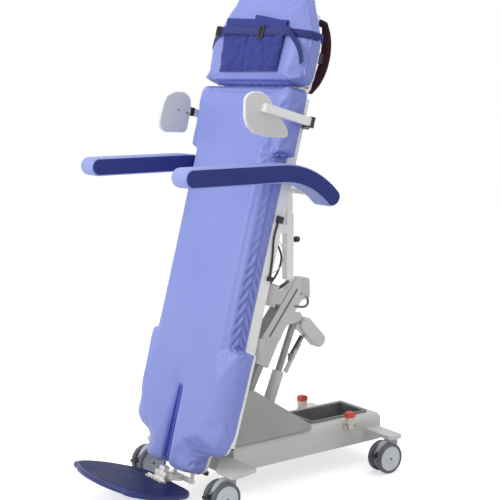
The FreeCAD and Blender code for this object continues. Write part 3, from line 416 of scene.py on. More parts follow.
finishes = {
    "vinyl_blue": makeFinish("vinylBlue", (0.22, 0.268, 0.66), (0.258, 0.308, 0.71),
                             (0.42, 0.52), 3.0, 0.25, 900, 0.8),
    "navy_plastic": makeFinish("slotNavy", (0.15, 0.21, 0.7), (0.18, 0.25, 0.78),
                               (0.5, 0.6), 8.0, 0.1, 500, specular=0.3),
    "white_paint": makeFinish("whitePaint", grey(0.92), grey(0.96), (0.3, 0.4), 6.0, 0.06, 1500, 0.2),
    "black_plastic": makeFinish("blackPlastic", (0.016, 0.016, 0.018), (0.028, 0.028, 0.03),
                                (0.4, 0.55), 20.0, 0.15, 1400),
    "grey_paint": makeFinish("greyPaint", (0.64, 0.625, 0.62), (0.7, 0.685, 0.68),
                             (0.32, 0.42), 6.0, 0.07, 1500, 0.2),
    "zinc_steel": makeFinish("zincSteel", (0.72, 0.7, 0.68), (0.84, 0.82, 0.8),
                             (0.3, 0.45), 30.0, 0.12, 900, 0.3, metal=0.5),
    "light_grey_paint": makeFinish("lightGreyPaint", (0.6, 0.6, 0.58), (0.66, 0.66, 0.64),
                                   (0.3, 0.4), 5.0, 0.06, 1500, 0.2),
    "dark_grey_plastic": makeFinish("trayPlastic", grey(0.15), grey(0.2), (0.5, 0.65), 10.0, 0.2, 800),
    "dark_steel": makeFinish("darkSteel", grey(0.14), grey(0.2),
                             (0.3, 0.45), 12.0, 0.08, 900, 0.3, metal=0.6),
    "pale_plastic": makeFinish("palePlastic", (0.72, 0.62, 0.56), (0.78, 0.7, 0.66),
                               (0.35, 0.45), 12.0, 0.06, 900),
    "red_rubber": makeFinish("pedalRed", (0.62, 0.07, 0.03), (0.78, 0.12, 0.06), (0.4, 0.55), 25.0, 0.2, 900),
    "motor_plastic": makeFinish("motorPlastic", (0.57, 0.57, 0.56), (0.64, 0.64, 0.63),
                                (0.35, 0.5), 10.0, 0.1, 900),
    "light_plastic": makeFinish("lightPlastic", (0.62, 0.62, 0.6), (0.7, 0.7, 0.68),
                                (0.35, 0.5), 10.0, 0.08, 900),
    "armrest_blue": makeFinish("armrestBlue", (0.26, 0.32, 0.68), (0.32, 0.39, 0.75),
                               (0.42, 0.55), 6.0, 0.22, 900, 0.8),
    "armrest_navy": makeFinish("armrestNavy", (0.026, 0.038, 0.2), (0.038, 0.052, 0.25),
                               (0.5, 0.6), 6.0, 0.22, 900, 0.8, specular=0.22),
    "pad_grey": makeFinish("padGrey", (0.7, 0.69, 0.68), (0.76, 0.75, 0.74),
                           (0.45, 0.6), 8.0, 0.22, 900, 0.8),
    "maroon_foam": makeFinish("maroonFoam", (0.02, 0.004, 0.012), (0.042, 0.009, 0.022),
                              (0.65, 0.8), 14.0, 0.5, 700, 0.9, specular=0.16),
    "strap_fabric": makeFinish("strapFabric", (0.019, 0.031, 0.225), (0.031, 0.046, 0.29),
                               (0.6, 0.75), 10.0, 0.5, 700, sheen=0.1, cloth=True, specular=0.25),
    "footplate_navy": makeFinish("footplateNavy", (0.012, 0.018, 0.13), (0.018, 0.027, 0.165),
                                 (0.32, 0.44), 6.0, 0.2, 700, specular=0.4),
    "castor_plastic": makeFinish("castorPlastic", (0.42, 0.43, 0.45), (0.5, 0.51, 0.53),
                                 (0.35, 0.5), 12.0, 0.12, 900),
    "castor_wheel": makeFinish("castorWheel", (0.62, 0.64, 0.68), (0.69, 0.71, 0.75),
                               (0.35, 0.5), 12.0, 0.12, 900),
}
extraFinishes = {
    "padEdgeHighlight": makeFinish("padEdgeHighlight", (0.82, 0.82, 0.8), (0.87, 0.87, 0.85), (0.45, 0.6), 8.0, 0.2, 900, 0.8),
    "tyre": makeFinish("tyreRubber", (0.09, 0.1, 0.12), (0.13, 0.14, 0.16), (0.5, 0.7), 20.0, 0.25, 900),
    "cheek": makeFinish("cheekPaint", (0.34, 0.34, 0.33), (0.41, 0.41, 0.4),
                        (0.32, 0.42), 6.0, 0.07, 1500, 0.2),
    "bandNavy": makeFinish("bandNavy", (0.022, 0.03, 0.165), (0.034, 0.044, 0.22),
                           (0.6, 0.75), 12.0, 0.6, 900, sheen=0.1, cloth=True, specular=0.25),
    "armPaintedShade": makeFinish("armPaintedShade", (0.22, 0.215, 0.2), (0.28, 0.275, 0.26),
                           (0.35, 0.45), 8.0, 0.07, 1500, 0.2),
    "tipGreen": makeFinish("tipGreen", (0.14, 0.2, 0.05), (0.2, 0.28, 0.08), (0.4, 0.55), 20.0, 0.2, 900),
    "treadNavy": makeFinish("treadNavy", (0.005, 0.011, 0.075), (0.01, 0.018, 0.11),
                            (0.45, 0.55), 9.0, 0.4, 260, 0.9, specular=0.1),
    "rodGrey": makeFinish("rodGrey", (0.26, 0.26, 0.25), (0.34, 0.34, 0.33),
                          (0.28, 0.4), 20.0, 0.06, 900, 0.3, metal=0.35),
}
slotOf = {row["node"]: row["material_slot"] for row in frame["record"]["subparts"]}
for nodeName, node in nodes.items():
    node.data.materials.clear()
    node.data.materials.append(finishes[slotOf[nodeName]])
print("finishes made")

# camera where the photograph was taken
camera = {"spot": (3.706, -2.6247, 1.6146), "azimuth": 53.91, "down": 8.47, "lens": 84.7}
bpy.ops.object.camera_add(location=camera["spot"])
eye = bpy.context.object
turn, dip = math.radians(camera["azimuth"]), math.radians(camera["down"])
lookAlong = Vector((-math.sin(turn) * math.cos(dip), math.cos(turn) * math.cos(dip), -math.sin(dip)))
eye.rotation_euler = lookAlong.to_track_quat("-Z", "Y").to_euler()
eye.data.lens = camera["lens"]
eye.data.sensor_width = 36
eye.data.clip_end = 60
bpy.context.scene.camera = eye

# studio: pale floor that looks white to the camera but keeps the shadow, white surroundings, soft lamps
studio = {"floorGlow": 0.56, "worldLight": 0.56, "worldSeen": 1.0, "aim": (0, 0, 0.9),
          "lamps": {"key": {"spot": (-0.9, -4.7, 3.2), "power": 128.0, "size": 2.4},
                    "fill": {"spot": (4.2, -0.8, 2.4), "power": 12.0, "size": 2.4},
                    "top": {"spot": (0.3, 0.6, 4.6), "power": 42.0, "size": 2.8}}}
bpy.ops.mesh.primitive_plane_add(size=60, location=(0, 0, -0.0005))
floor = bpy.context.object
floor.name = "studioFloor"


def seenDirectly(tree, plain, seen):
    # one value for light that falls on things, another where the camera, a gloss or a clear part looks
    path = tree.nodes.new("ShaderNodeLightPath")
    first, second = tree.nodes.new("ShaderNodeMath"), tree.nodes.new("ShaderNodeMath")
    first.operation = second.operation = "MAXIMUM"
    level = tree.nodes.new("ShaderNodeMapRange")
    level.inputs["To Min"].default_value = plain
    level.inputs["To Max"].default_value = seen
    tree.links.new(path.outputs["Is Camera Ray"], first.inputs[0])
    tree.links.new(path.outputs["Is Glossy Ray"], first.inputs[1])
    tree.links.new(first.outputs["Value"], second.inputs[0])
    tree.links.new(path.outputs["Is Transmission Ray"], second.inputs[1])
    tree.links.new(second.outputs["Value"], level.inputs["Value"])
    return level.outputs["Result"]


floorPaint = bpy.data.materials.new("studioFloor")
floorPaint.use_nodes = True
floorShader = floorPaint.node_tree.nodes["Principled BSDF"]
for label, value in {"Base Color": (0.8, 0.8, 0.81, 1), "Roughness": 0.9, "Specular IOR Level": 0.0,
                     "Emission Color": (1, 1, 1, 1)}.items():
    floorShader.inputs[label].default_value = value
floorGlow = seenDirectly(floorPaint.node_tree, 0.0, studio["floorGlow"])
floorPaint.node_tree.links.new(floorGlow, floorShader.inputs["Emission Strength"])
floor.data.materials.append(floorPaint)

world = bpy.data.worlds.new("studio")
bpy.context.scene.world = world
world.use_nodes = True
sky = world.node_tree.nodes["Background"]
sky.inputs["Color"].default_value = (1, 1, 1, 1)
worldGlow = seenDirectly(world.node_tree, studio["worldLight"], studio["worldSeen"])
world.node_tree.links.new(worldGlow, sky.inputs["Strength"])

for lampName, values in studio["lamps"].items():
    bpy.ops.object.light_add(type="AREA", location=values["spot"])
    lamp = bpy.context.object
    lamp.name = lampName
    lamp.data.energy = values["power"]
    lamp.data.size = values["size"]
    lamp.rotation_euler = (Vector(studio["aim"]) - Vector(values["spot"])).to_track_quat("-Z", "Y").to_euler()
bpy.context.scene.view_settings.view_transform = "Standard"
recolour(nodes["column_housing"], "cheek")
print("camera and lights ready")


def refine(piece, wanted):
    # finer faces where the creases go
    pickOnly(piece)
    bpy.context.tool_settings.mesh_select_mode = (False, False, True)
    bpy.ops.object.mode_set(mode="EDIT")
    bpy.ops.mesh.select_all(action="DESELECT")
    bpy.ops.object.mode_set(mode="OBJECT")
    for face in piece.data.polygons:
        face.select = wanted(offTable @ face.center)
    bpy.ops.object.mode_set(mode="EDIT")
    bpy.ops.mesh.subdivide(number_cuts=1)
    bpy.ops.object.mode_set(mode="OBJECT")
    bpy.context.tool_settings.mesh_select_mode = (True, False, False)


def crispEdge(spot):
    # how far the front lip is rounded: less at the side ledges and at the foot of the head cushion
    ledge = window(math.hypot(abs(spot.x) - 0.29, spot.z - 0.5), 0.0, 0.03, 0.03)
    headFoot = 0.7 * window(spot.z, 1.484, 1.53, 0.02) * window(spot.z, 1.49, 2.0, 0.004)
    return 1.0 - 0.5 * ledge - headFoot


def padPiece(nodeName, name, body, slot, settings, folds=None, ease=None):
    # foam in a fitted cover: remeshed, its front lip rounded, blown up a little as cloth, flat at the back
    piece = copyNode(nodeName, name)
    useModifier(piece, "REMESH", mode="VOXEL", voxel_size=settings["voxel"], use_smooth_shade=True)
    lip = piece.vertex_groups.new(name="lip")
    for vertex in piece.data.vertices:
        spot = offTable @ vertex.co
        if ease:
            vertex.co = onTable @ (spot + Vector((0, ease(spot), 0)))
        share = min(max((settings["lip"] - spot.y) / 0.02, 0.0), 1.0)
        lip.add([vertex.index], crispEdge(spot) * share, "REPLACE")
    useModifier(piece, "SMOOTH", factor=0.5, iterations=settings["rounding"], vertex_group="lip")
    piece.vertex_groups.clear()
    if "fine" in settings:
        refine(piece, settings["fine"])
    rest = [offTable @ vertex.co for vertex in piece.data.vertices]
    normals = [offTable.to_3x3() @ vertex.normal for vertex in piece.data.vertices]
    start = []
    for spot, normal in zip(rest, normals):
        inward = settings["shrink"] if spot.y < settings["back"] else 0.0
        start.append(spot - normal * inward)
    for vertex, spot in zip(piece.data.vertices, start):
        vertex.co = onTable @ spot
    held = piece.vertex_groups.new(name="held")
    held.add([i for i, spot in enumerate(rest) if spot.y > settings["back"]], 1.0, "REPLACE")
    pickOnly(piece)
    cloth = piece.modifiers.new("Cloth", "CLOTH")
    values = {"use_pressure": True, "uniform_pressure_force": settings["pressure"],
              "tension_stiffness": 25, "compression_stiffness": 25, "bending_stiffness": 2,
              "quality": 4, "vertex_group_mass": "held"}
    for key, value in values.items():
        setattr(cloth.settings, key, value)
    cloth.settings.effector_weights.gravity = 0
    cloth.collision_settings.use_collision = False
    for step in range(1, 17):
        bpy.context.scene.frame_set(step)
    bpy.ops.object.modifier_apply(modifier=cloth.name)
    piece.vertex_groups.clear()
    bpy.context.scene.frame_set(1)
    for vertex, spot in zip(piece.data.vertices, start):
        moved = offTable @ vertex.co - spot
        if moved.length > settings["cap"]:
            vertex.co = onTable @ (spot + moved.normalized() * settings["cap"])
    if folds:
        for vertex, spot, normal in zip(piece.data.vertices, rest, normals):
            vertex.co = vertex.co + onTable.to_3x3() @ (normal * folds(spot, normal))
    addPiece(piece, name, body, slot, nodeName)
    pickOnly(piece)
    bpy.ops.object.shade_smooth()
    return piece


def sideFacets(spot, scale, depth):
    # long soft dents that a tight cover shows along its sides
    flank = 3.0 if spot.x > 0 else 7.0
    return depth * noise.noise((spot.z * scale, spot.y * scale * 1.6, flank))


def gatherRound(spot, corner, depth, rays, reach, soft):
    # folds that run out like rays from a corner (x, z) of the cover
    near = math.hypot(spot.x - corner[0], spot.z - corner[1])
    fold = ripple(math.atan2(spot.z - corner[1], spot.x - corner[0]) * rays)
    return depth * fold * window(near, 0.004, reach, soft)


mattress = {"voxel": 0.007, "lip": 0.05, "rounding": 26, "shrink": 0.002, "back": 0.074, "pressure": 4.0,
            "cap": 0.01, "fill": 0.85, "gatherDepth": 0.013, "gatherPitch": 0.046, "gatherSlope": 1.7,
            "seamDepth": 0.007, "fanDepth": 0.006, "fanPitch": 0.024, "ledgeCorner": (0.262, 0.505),
            "waistCorner": (0.262, 1.228), "lobeCorner": (0.158, 0.036),
            "fine": lambda spot: (abs(spot.x) > 0.232 and 0.5 < spot.z < 1.26 and spot.y > 0.016)
            or (spot.x > 0.14 and spot.z < 0.12)}


def mattressEase(spot):
    # the lower part of the cover falls away towards its side edges
    if spot.z > 0.512 or spot.y > 0.04:
        return 0.0
    half = 0.17 + 0.125 * window(spot.z, 0.15, 0.6, 0.09)
    half += 0.018 * window(spot.z, 0.3, 0.6, 0.15)
    edge = max(abs(spot.x) - half + 0.05, 0.0)
    return 0.5 * min(edge, 0.055) * window(spot.z, -0.1, 0.508, 0.004) * window(spot.y, -0.01, 0.012, 0.03)


def sideFolds(spot):
    # the sides: facets, herringbone gathers along the waist, a seam line and a tuck near the foot
    out = sideFacets(spot, 9.0, 0.0065 if spot.z > 1.236 else 0.004) * window(spot.y, 0.015, 0.07, 0.012)
    waist = window(spot.z, 0.53, 1.2, 0.03) * window(spot.y, 0.024, 0.074, 0.014)
    strength = 1.0 - 0.75 * window(spot.z, 0.98, 1.3, 0.25)
    slant = spot.z + mattress["gatherSlope"] * abs(spot.y - 0.047)
    wave = ripple(slant * 2 * math.pi / mattress["gatherPitch"] + 2.2 * noise.noise((spot.z * 14, 0, 0)))
    out -= mattress["gatherDepth"] * waist * strength * wave ** 2.5
    out -= mattress["seamDepth"] * waist * window(spot.y, 0.046, 0.048, 0.005)
    tuck = abs(spot.z - 0.045 - 0.25 * (spot.y - 0.05))
    fold = mattress["seamDepth"] * window(spot.z, 0.012, 0.08, 0.012) * window(tuck, 0.0, 0.004, 0.012)
    return out - fold * window(spot.y, 0.02, 0.08, 0.01)


def lobeTuck(spot):
    # tucked corner of the right foot lobe: a three-sided facet that falls away
    u, v = mattress["lobeCorner"]
    below = (v + 0.3 * (spot.x - u) - spot.z) * 0.958
    beside = ((spot.x - u) * 0.066 + (spot.z - v) * 0.094) / 0.1149
    facet = max(min(below, beside), 0.0)
    return min(0.75 * facet, 0.016) * window(spot.y, -0.02, 0.04, 0.02)


def mattressFolds(spot, normal):
    out = 0.0
    if abs(normal.x) > 0.6:
        out += sideFolds(spot)
    if spot.x > 0 and abs(normal.z) > 0.5 and (0.46 < spot.z < 0.53 or 1.2 < spot.z < 1.26):
        fan = ripple(spot.y * 2 * math.pi / mattress["fanPitch"] + spot.x * 60)
        out -= mattress["fanDepth"] * fan * window(spot.y, 0.025, 0.078, 0.01)
    if spot.x > 0 and spot.y < 0.06:
        out -= gatherRound(spot, mattress["ledgeCorner"], 0.004, 6, 0.03, 0.015)
        out -= lobeTuck(spot)
        out -= gatherRound(spot, mattress["waistCorner"], 0.006, 8, 0.036, 0.02)
    if normal.y < -0.8:
        out += 0.0012 * noise.noise((spot.x * 6, spot.z * 6, 1.0))
    return out


headCushion = {"voxel": 0.007, "lip": 0.05, "rounding": 20, "shrink": 0.004, "back": 0.074, "pressure": 4.0,
               "cap": 0.006, "fill": 0.85, "band": 0.056, "slope": 0.6, "taperStart": 1.655, "taper": 0.52}


def headEase(spot):
    # the head cushion slopes off in a wide band along both sides
    if spot.y > 0.045:
        return 0.0
    half = 0.314 - headCushion["taper"] * max(spot.z - headCushion["taperStart"], 0.0)
    edge = min(max(abs(spot.x) - half + headCushion["band"], 0.0), headCushion["band"])
    return headCushion["slope"] * edge * window(spot.z, 1.54, 1.9, 0.03) * window(spot.y, -0.01, 0.012, 0.03)


def headFolds(spot, normal):
    out = 0.0
    if abs(normal.x) > 0.5:
        out += sideFacets(spot, 10.0, 0.004) * window(spot.y, 0.015, 0.07, 0.012)
        out -= 0.003 * window(spot.y, 0.036, 0.039, 0.006)
    if normal.z < -0.5:
        out -= 0.002 * ripple(spot.x * 2 * math.pi / 0.05 + spot.y * 40)
    return out


padPiece("mattress", "mattressPad", "table", "vinyl_blue", mattress, mattressFolds, mattressEase)
padPiece("head_cushion", "headPad", "head", "vinyl_blue", headCushion, headFolds, headEase)

# vent eyelet low on the side of the head cushion
eyeletProfile = [(0, 0.0012), (0.0012, 0.002), (0.0022, 0.0032), (0.0014, 0.0046), (-0.002, 0.005),
                 (-0.002, 0.0012)]
eyeletTurn = Matrix.Rotation(math.radians(46), 4, "Y")
eyelet = lathe("ventEyelet", eyeletProfile, 20)
place(eyelet, onTable @ Matrix.Translation((0.2995, 0.046, 1.5155)) @ eyeletTurn)
addPiece(eyelet, "ventEyelet", "head", "navy_plastic")
print("cushions made")

# armrests: soft core between two upholstered side panels
armrest = {"voxel": 0.005, "rounding": 9, "swell": 0.0055, "panelEdge": 0.0028, "fill": 0.9}
sides = {"right": 1, "left": -1}
for word in sides:
    core = copyNode("armrest_" + word + "_core", "armrestPad_" + word)
    useModifier(core, "REMESH", mode="VOXEL", voxel_size=armrest["voxel"], use_smooth_shade=True)
    useModifier(core, "SMOOTH", factor=0.5, iterations=armrest["rounding"])
    useModifier(core, "DISPLACE", strength=armrest["swell"], mid_level=0.0)
    addPiece(core, core.name, "armrest_" + word, "armrest_blue", "armrest_" + word + "_core")
    panels = copyNode("armrest_" + word + "_panels", "armrestPanels_" + word)
    bevelEdges(panels, armrest["panelEdge"], 3, 40)
    addPiece(panels, panels.name, "armrest_" + word, "armrest_navy", "armrest_" + word + "_panels")
    smooth(panels, 40)

# thorax supports: pads whose bevelled rim is painted paler as a painted highlight, screws on the far one,
# caps on the bars
thorax = {"rim": 0.0055, "fill": 0.9, "thick": 0.015, "corner": 0.03, "barX": 0.332, "capHalf": 0.0155,
          "right": [(-0.2004, 1.3853), (-0.1935, 1.4084), (-0.1709, 1.4237), (-0.133, 1.4321),
                    (-0.096, 1.4202), (-0.0665, 1.3874), (0.0146, 1.3317), (0.0217, 1.3059),
                    (0.0074, 1.2955), (-0.0845, 1.2781), (-0.1321, 1.2803), (-0.167, 1.2984),
                    (-0.1856, 1.3256)],
          "left": [(-0.1405, 1.4076), (-0.1081, 1.4328), (-0.0636, 1.4428), (-0.0362, 1.4346),
                   (-0.0219, 1.4143), (-0.0129, 1.374), (-0.0128, 1.3314), (-0.012, 1.286),
                   (-0.1113, 1.2655), (-0.1388, 1.2765), (-0.1495, 1.2979), (-0.1504, 1.3334),
                   (-0.1469, 1.3762)]}
for word, side in sides.items():
    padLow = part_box("thorax_pad_" + word)[0]
    outline = roundOutline(thorax[word], thorax["corner"])
    pad = slab("thoraxPad_" + word, outline, thorax["thick"], "YZ", padLow.x)
    bevelEdges(pad, thorax["rim"], 4, 60)
    place(pad, onTable)
    addPiece(pad, pad.name, "thorax_support_" + word, "pad_grey", "thorax_pad_" + word)
    pad.data.materials.append(extraFinishes["padEdgeHighlight"])
    # faces that do not look along x (the bevelled rim) get the paler finish: painted highlight along the edge
    for face in pad.data.polygons:
        face.material_index = 0 if abs(face.normal.x) > 0.985 else 1
    smooth(pad, 40)
    middle = side * thorax["barX"]
    cap = softBox("thoraxCap_" + word, (middle - thorax["capHalf"], 0.0985, 1.3615),
                  (middle + thorax["capHalf"], 0.1035, 1.3925), 0.0015, onTable)
    addPiece(cap, cap.name, "thorax_support_" + word, "black_plastic")
sleeve = softBox("thoraxSleeve", (-0.3487, -0.012, 1.3603), (-0.3153, 0.013, 1.3937), 0.0015, onTable)
addPiece(sleeve, "thoraxSleeve", "thorax_support_left", "black_plastic")
screwSpots = [(-0.073, 1.3668), (-0.0349, 1.3648), (-0.0259, 1.3625)]
screwProfile = [(0, 0.0008), (0.0012, 0.0016), (0.0012, 0.0032), (0, 0.004), (-0.001, 0.004),
                (-0.001, 0.0008)]
screws = []
for y, z in screwSpots:
    screw = lathe("screw", screwProfile, 16)
    place(screw, onTable @ Matrix.Translation((-0.3018, y, z)))
    screws.append(screw)
addPiece(joinPieces("thoraxScrews", screws), "thoraxScrews", "thorax_support_left", "dark_steel")
print("armrests and supports made")

# head strap: folded panel, band, two slides and a loose tail
strap = {"panel": [(-0.172, 1.54), (0.198, 1.54), (0.207, 1.735), (-0.196, 1.758)], "thick": 0.0045,
         "lift": 0.0088, "flap": [(0.004, 1.703), (0.2, 1.69), (0.209, 1.73), (0.006, 1.762)],
         "flapThick": 0.003, "bandV": 1.69, "band": 0.03, "bandThick": 0.002, "bandGap": 0.0055}


def panelHeight(a, b):
    # how far the folded panel stands off: pleat, creases, puffed halves, hem and the pull of the band
    across = a * 0.38
    pleat = 0.004 * window(across, 0.17, 0.4, 0.004) - 0.005 * window(across, 0.163, 0.166, 0.006)
    pleat *= window(b, 0.0, 0.72, 0.05)
    loose = window(b, 0.03, 0.74, 0.1)
    crease = 0.0075 * abs(noise.noise((a * 5.0 - b * 2.2, b * 2.6 + a * 1.6, 4.0))) * loose
    crease += 0.0042 * noise.noise((a * 9.0 + b * 3.0, b * 7.0 - a * 2.0, 9.0)) * loose
    halves = window(across, 0.02, 0.1, 0.03) + window(across, 0.155, 0.35, 0.04)
    puff = 0.004 * halves * window(b, 0.06, 0.6, 0.15)
    hem = -0.0022 * window(b, 0.045, 0.05, 0.01)
    hem = hem - 0.0018 * window(a, 0.0, 0.006, 0.012) - 0.0018 * window(a, 0.994, 1.0, 0.012)
    held = -0.0015 * window(b, 0.68, 0.82, 0.04)
    return strap["lift"] + pleat + crease + puff + hem + held


def flapHeight(a, b):
    return 0.0125 + 0.002 * math.sin(a * 5 + 1) + 0.003 * b - 0.0015 * window(b, 0.9, 1.0, 0.03)


panel = patch("strapPanel", strap["panel"], (96, 60), panelHeight, strap["thick"])
addPiece(panel, "strapPanel", "head", "strap_fabric", "strap_panel")
flap = patch("strapFlap", strap["flap"], (48, 20), flapHeight, strap["flapThick"])
addPiece(flap, "strapFlap", "head", "strap_fabric")
bandV = strap["bandV"]
bandPath = [(-0.24, 0.0995, 1.646), (-0.302, 0.0995, 1.646), (-0.316, 0.09, 1.646), (-0.318, 0.06, 1.648),
            (-0.3155, 0.04, 1.652), (-0.303, 0.021, 1.658), (-0.28, 0.007, 1.671), (-0.25, -0.007, 1.688),
            (-0.212, -0.0155, 1.704), (-0.15, -0.019, 1.705), (-0.05, -0.019, 1.699), (0.05, -0.0175, 1.694),
            (0.2, -0.0165, bandV), (0.236, -0.0125, bandV), (0.262, 0.002, bandV), (0.288, 0.0175, bandV),
            (0.3015, 0.034, bandV), (0.3055, 0.055, bandV), (0.304, 0.09, bandV), (0.291, 0.0995, bandV),
            (0.24, 0.0995, bandV)]
headSurface = bpy.data.objects["headPad"]
for i, point in enumerate(bandPath):
    # round the sides the band lies close to the cushion
    if abs(point[0]) > 0.225 and point[1] < 0.08:
        found = headSurface.closest_point_on_mesh(onTable @ Vector(point))
        bandPath[i] = tuple(offTable @ (found[1] + found[2] * strap["bandGap"]))
band = ribbon("strapBand", bandPath, (0, 0, 1), strap["band"], strap["bandThick"])
tailPath = [(0.2, -0.0195, 1.712), (0.236, -0.0165, 1.688), (0.272, 0.001, 1.652), (0.294, 0.012, 1.615),
            (0.303, 0.02, 1.578)]
tail = ribbon("strapTail", tailPath, (0.75, 0.1, 0.6), 0.02, 0.0018)
webbing = joinPieces("strapWebbing", [band, tail])
addPiece(webbing, "strapWebbing", "head", "strap_fabric", "strap_webbing")
recolour(webbing, "bandNavy")


slides = {"front": -0.0235, "back": -0.0185, "rail": 0.005, "edge": 0.0012}


def slide(name, u, wide, tall, raised=0.0):
    # a strap slide: a frame of four rounded rails round the middle of the band
    front, back, rail = slides["front"], slides["back"], slides["rail"]
    left, right, low, high = u - wide / 2, u + wide / 2, bandV - tall / 2, bandV + tall / 2
    spans = [((left, low), (left + rail, high)), ((right - rail, low), (right, high)),
             ((left, low), (right, low + rail)), ((left, high - rail), (right, high))]
    rails = [softBox("rail", (a, front, b), (c, back, d), slides["edge"]) for (a, b), (c, d) in spans]
    joined = joinPieces(name, rails)
    place(joined, onTable @ Matrix.Translation((0, 0, raised)))
    return joined


turned = [slide("triGlide", 0.07, 0.034, 0.05), slide("adjuster", -0.218, 0.028, 0.04, 0.012)]
for u in (0.059, 0.07, 0.081):
    turned.append(softBox("post", (u - 0.0022, -0.0245, bandV - 0.024), (u + 0.0022, -0.018, bandV + 0.024),
                          0.001, onTable))
turned.append(softBox("post", (-0.2205, -0.0245, bandV - 0.007), (-0.2155, -0.018, bandV + 0.031),
                      0.001, onTable))
addPiece(joinPieces("strapSlides", turned), "strapSlides", "head", "black_plastic", "strap_hardware")
print("strap set made")

# push handles of the head section: foam grips on black brackets, a small white bail each side
grip = {"x": 0.206, "y": -0.058, "v": 1.64, "curve": 0.258, "half": 31.6, "radius": 0.0195,
        "taper": [0.55, 0.84, 0.96, 1, 1, 1, 0.96, 0.84, 0.55], "sockets": (1.512, 1.768),
        "socket": [(0.126, 0.0093), (0.126, 0.0125), (0.129, 0.0135), (0.16, 0.0135), (0.163, 0.0125),
                   (0.163, 0.0093)],
        "bail": [(0.21, 0.12, 1.492), (0.228, 0.136, 1.496), (0.231, 0.14, 1.53), (0.228, 0.136, 1.572),
                 (0.21, 0.12, 1.578)]}
for word, side in sides.items():
    gripX = side * grip["x"]
    arc = []
    for k in range(9):
        angle = math.radians(grip["half"] * (k - 4) / 4)
        arc.append((gripX, grip["y"] + grip["curve"] * math.cos(angle) + 0.0006,
                    grip["v"] + grip["curve"] * math.sin(angle)))
    foam = tube("pushGrip_" + word, arc, grip["radius"], onTable, 6, grip["taper"])
    addPiece(foam, foam.name, "head", "maroon_foam")
    for k, z in enumerate(grip["sockets"]):
        socket = lathe("gripSocket_%s_%d" % (word, k), grip["socket"], 24, "Y")
        place(socket, onTable @ Matrix.Translation((gripX, 0, z)))
        addPiece(socket, socket.name, "head", "maroon_foam")
    mount = softBox("gripMount_" + word, (gripX - 0.011, 0.126, 1.62), (gripX + 0.011, 0.19, 1.66),
                    0.003, onTable)
    addPiece(mount, mount.name, "head", "black_plastic")
    bail = tube("gripBail_" + word, [(side * x, y, z) for x, y, z in grip["bail"]], 0.006, onTable)
    addPiece(bail, bail.name, "head", "white_paint")
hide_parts("push_handles")


# footplate: a thin padded plate with a soft edge, a tread on it and hinge knuckles
def arcOutline(points, steps=7):
    # points are (a, b), or (a, b, via a, via b) where a curve leads up to them
    line = []
    for i, point in enumerate(points):
        end = Vector(point[:2])
        if len(point) == 4:
            start = Vector(points[i - 1][:2])
            pull = 2 * Vector(point[2:]) - (start + end) / 2
            for k in range(1, steps):
                t = k / steps
                line.append(start * (1 - t) ** 2 + pull * 2 * t * (1 - t) + end * t ** 2)
        line.append(end)
    return line


footplate = {"half": [(0.13, 0.055), (0.215, -0.03, 0.182, 0.025), (0.248, -0.15, 0.24, -0.085),
                      (0.225, -0.235, 0.242, -0.196), (0.17, -0.268, 0.204, -0.26),
                      (0.0, -0.303, 0.09, -0.295)],
             "thick": 0.02, "low": -0.08, "edge": 0.007, "treadShare": 0.945, "treadThick": 0.0008}
half = footplate["half"]
mirrored = [(-a[0], a[1], -b[2], b[3]) for a, b in zip(half[-2::-1], half[:0:-1])]
plateOutline = arcOutline(half + mirrored)
plate = slab("footPad", plateOutline, footplate["thick"], "XY", footplate["low"])
bevelEdges(plate, footplate["edge"], 4, 60)
place(plate, onTable)
addPiece(plate, "footPad", "foot_support", "footplate_navy", "footplate")
smooth(plate, 40)
share = footplate["treadShare"]
treadOutline = [(a * share, b * share - 0.003) for a, b in plateOutline]
tread = slab("footTread", treadOutline, footplate["treadThick"], "XY", -0.0602)
place(tread, onTable)
addPiece(tread, "footTread", "foot_support", "footplate_navy")
recolour(tread, "treadNavy")
slot = softBox("treadSlot", (-0.016, -0.128, -0.0598), (0.016, -0.12, -0.0586), 0.0006, onTable)
addPiece(slot, "treadSlot", "foot_support", "black_plastic")
# slider: web and bar; bracket: head, lug, two side plates and tongue
sliderBlocks = [((-0.017, 0.038, -0.056), (0.017, 0.1, -0.03), 0.002),
                ((-0.07, 0.1, -0.052), (0.07, 0.1218, -0.036), 0.002)]
bracketBlocks = [((-0.032, 0.0015, -0.0596), (0.032, 0.042, -0.026), 0.002),
                 ((-0.029, -0.008, -0.0598), (0.029, 0.004, -0.0476), 0.0015),
                 ((-0.036, 0.002, -0.056), (-0.031, 0.03, -0.0225), 0.0015),
                 ((0.031, 0.002, -0.056), (0.036, 0.03, -0.0225), 0.0015),
                 ((-0.0165, 0.004, -0.05), (0.0165, 0.03, -0.004), 0.0015)]
slider, bracket = [[softBox("block", low, high, edge, onTable) for low, high, edge in blocks]
                   for blocks in (sliderBlocks, bracketBlocks)]
rodProfile = [(-0.045, 0.0005), (-0.045, 0.0068), (-0.0435, 0.008), (0.3485, 0.008), (0.35, 0.0068),
              (0.35, 0.0005)]
for side in (-1, 1):
    rod = lathe("rod", rodProfile, 28, "Z")
    place(rod, onTable @ Matrix.Translation((side * 0.06, 0.112, 0)))
    slider.append(rod)
addPiece(joinPieces("footSlider", slider), "footSlider", "foot_slide", "zinc_steel", "foot_bracket")
addPiece(joinPieces("footBracket", bracket), "footBracket", "foot_slide", "zinc_steel")
knuckles = []
for i in range(6):
    low = -0.055 + i * 0.0195
    high = low + 0.011
    knuckles.append(softBox("knuckle", (low, -0.027, -0.0605), (high, -0.0135, -0.0525), 0.0022, onTable))
addPiece(joinPieces("hingeKnuckles", knuckles), "hingeKnuckles", "foot_support", "zinc_steel")
print("handles and footplate made")

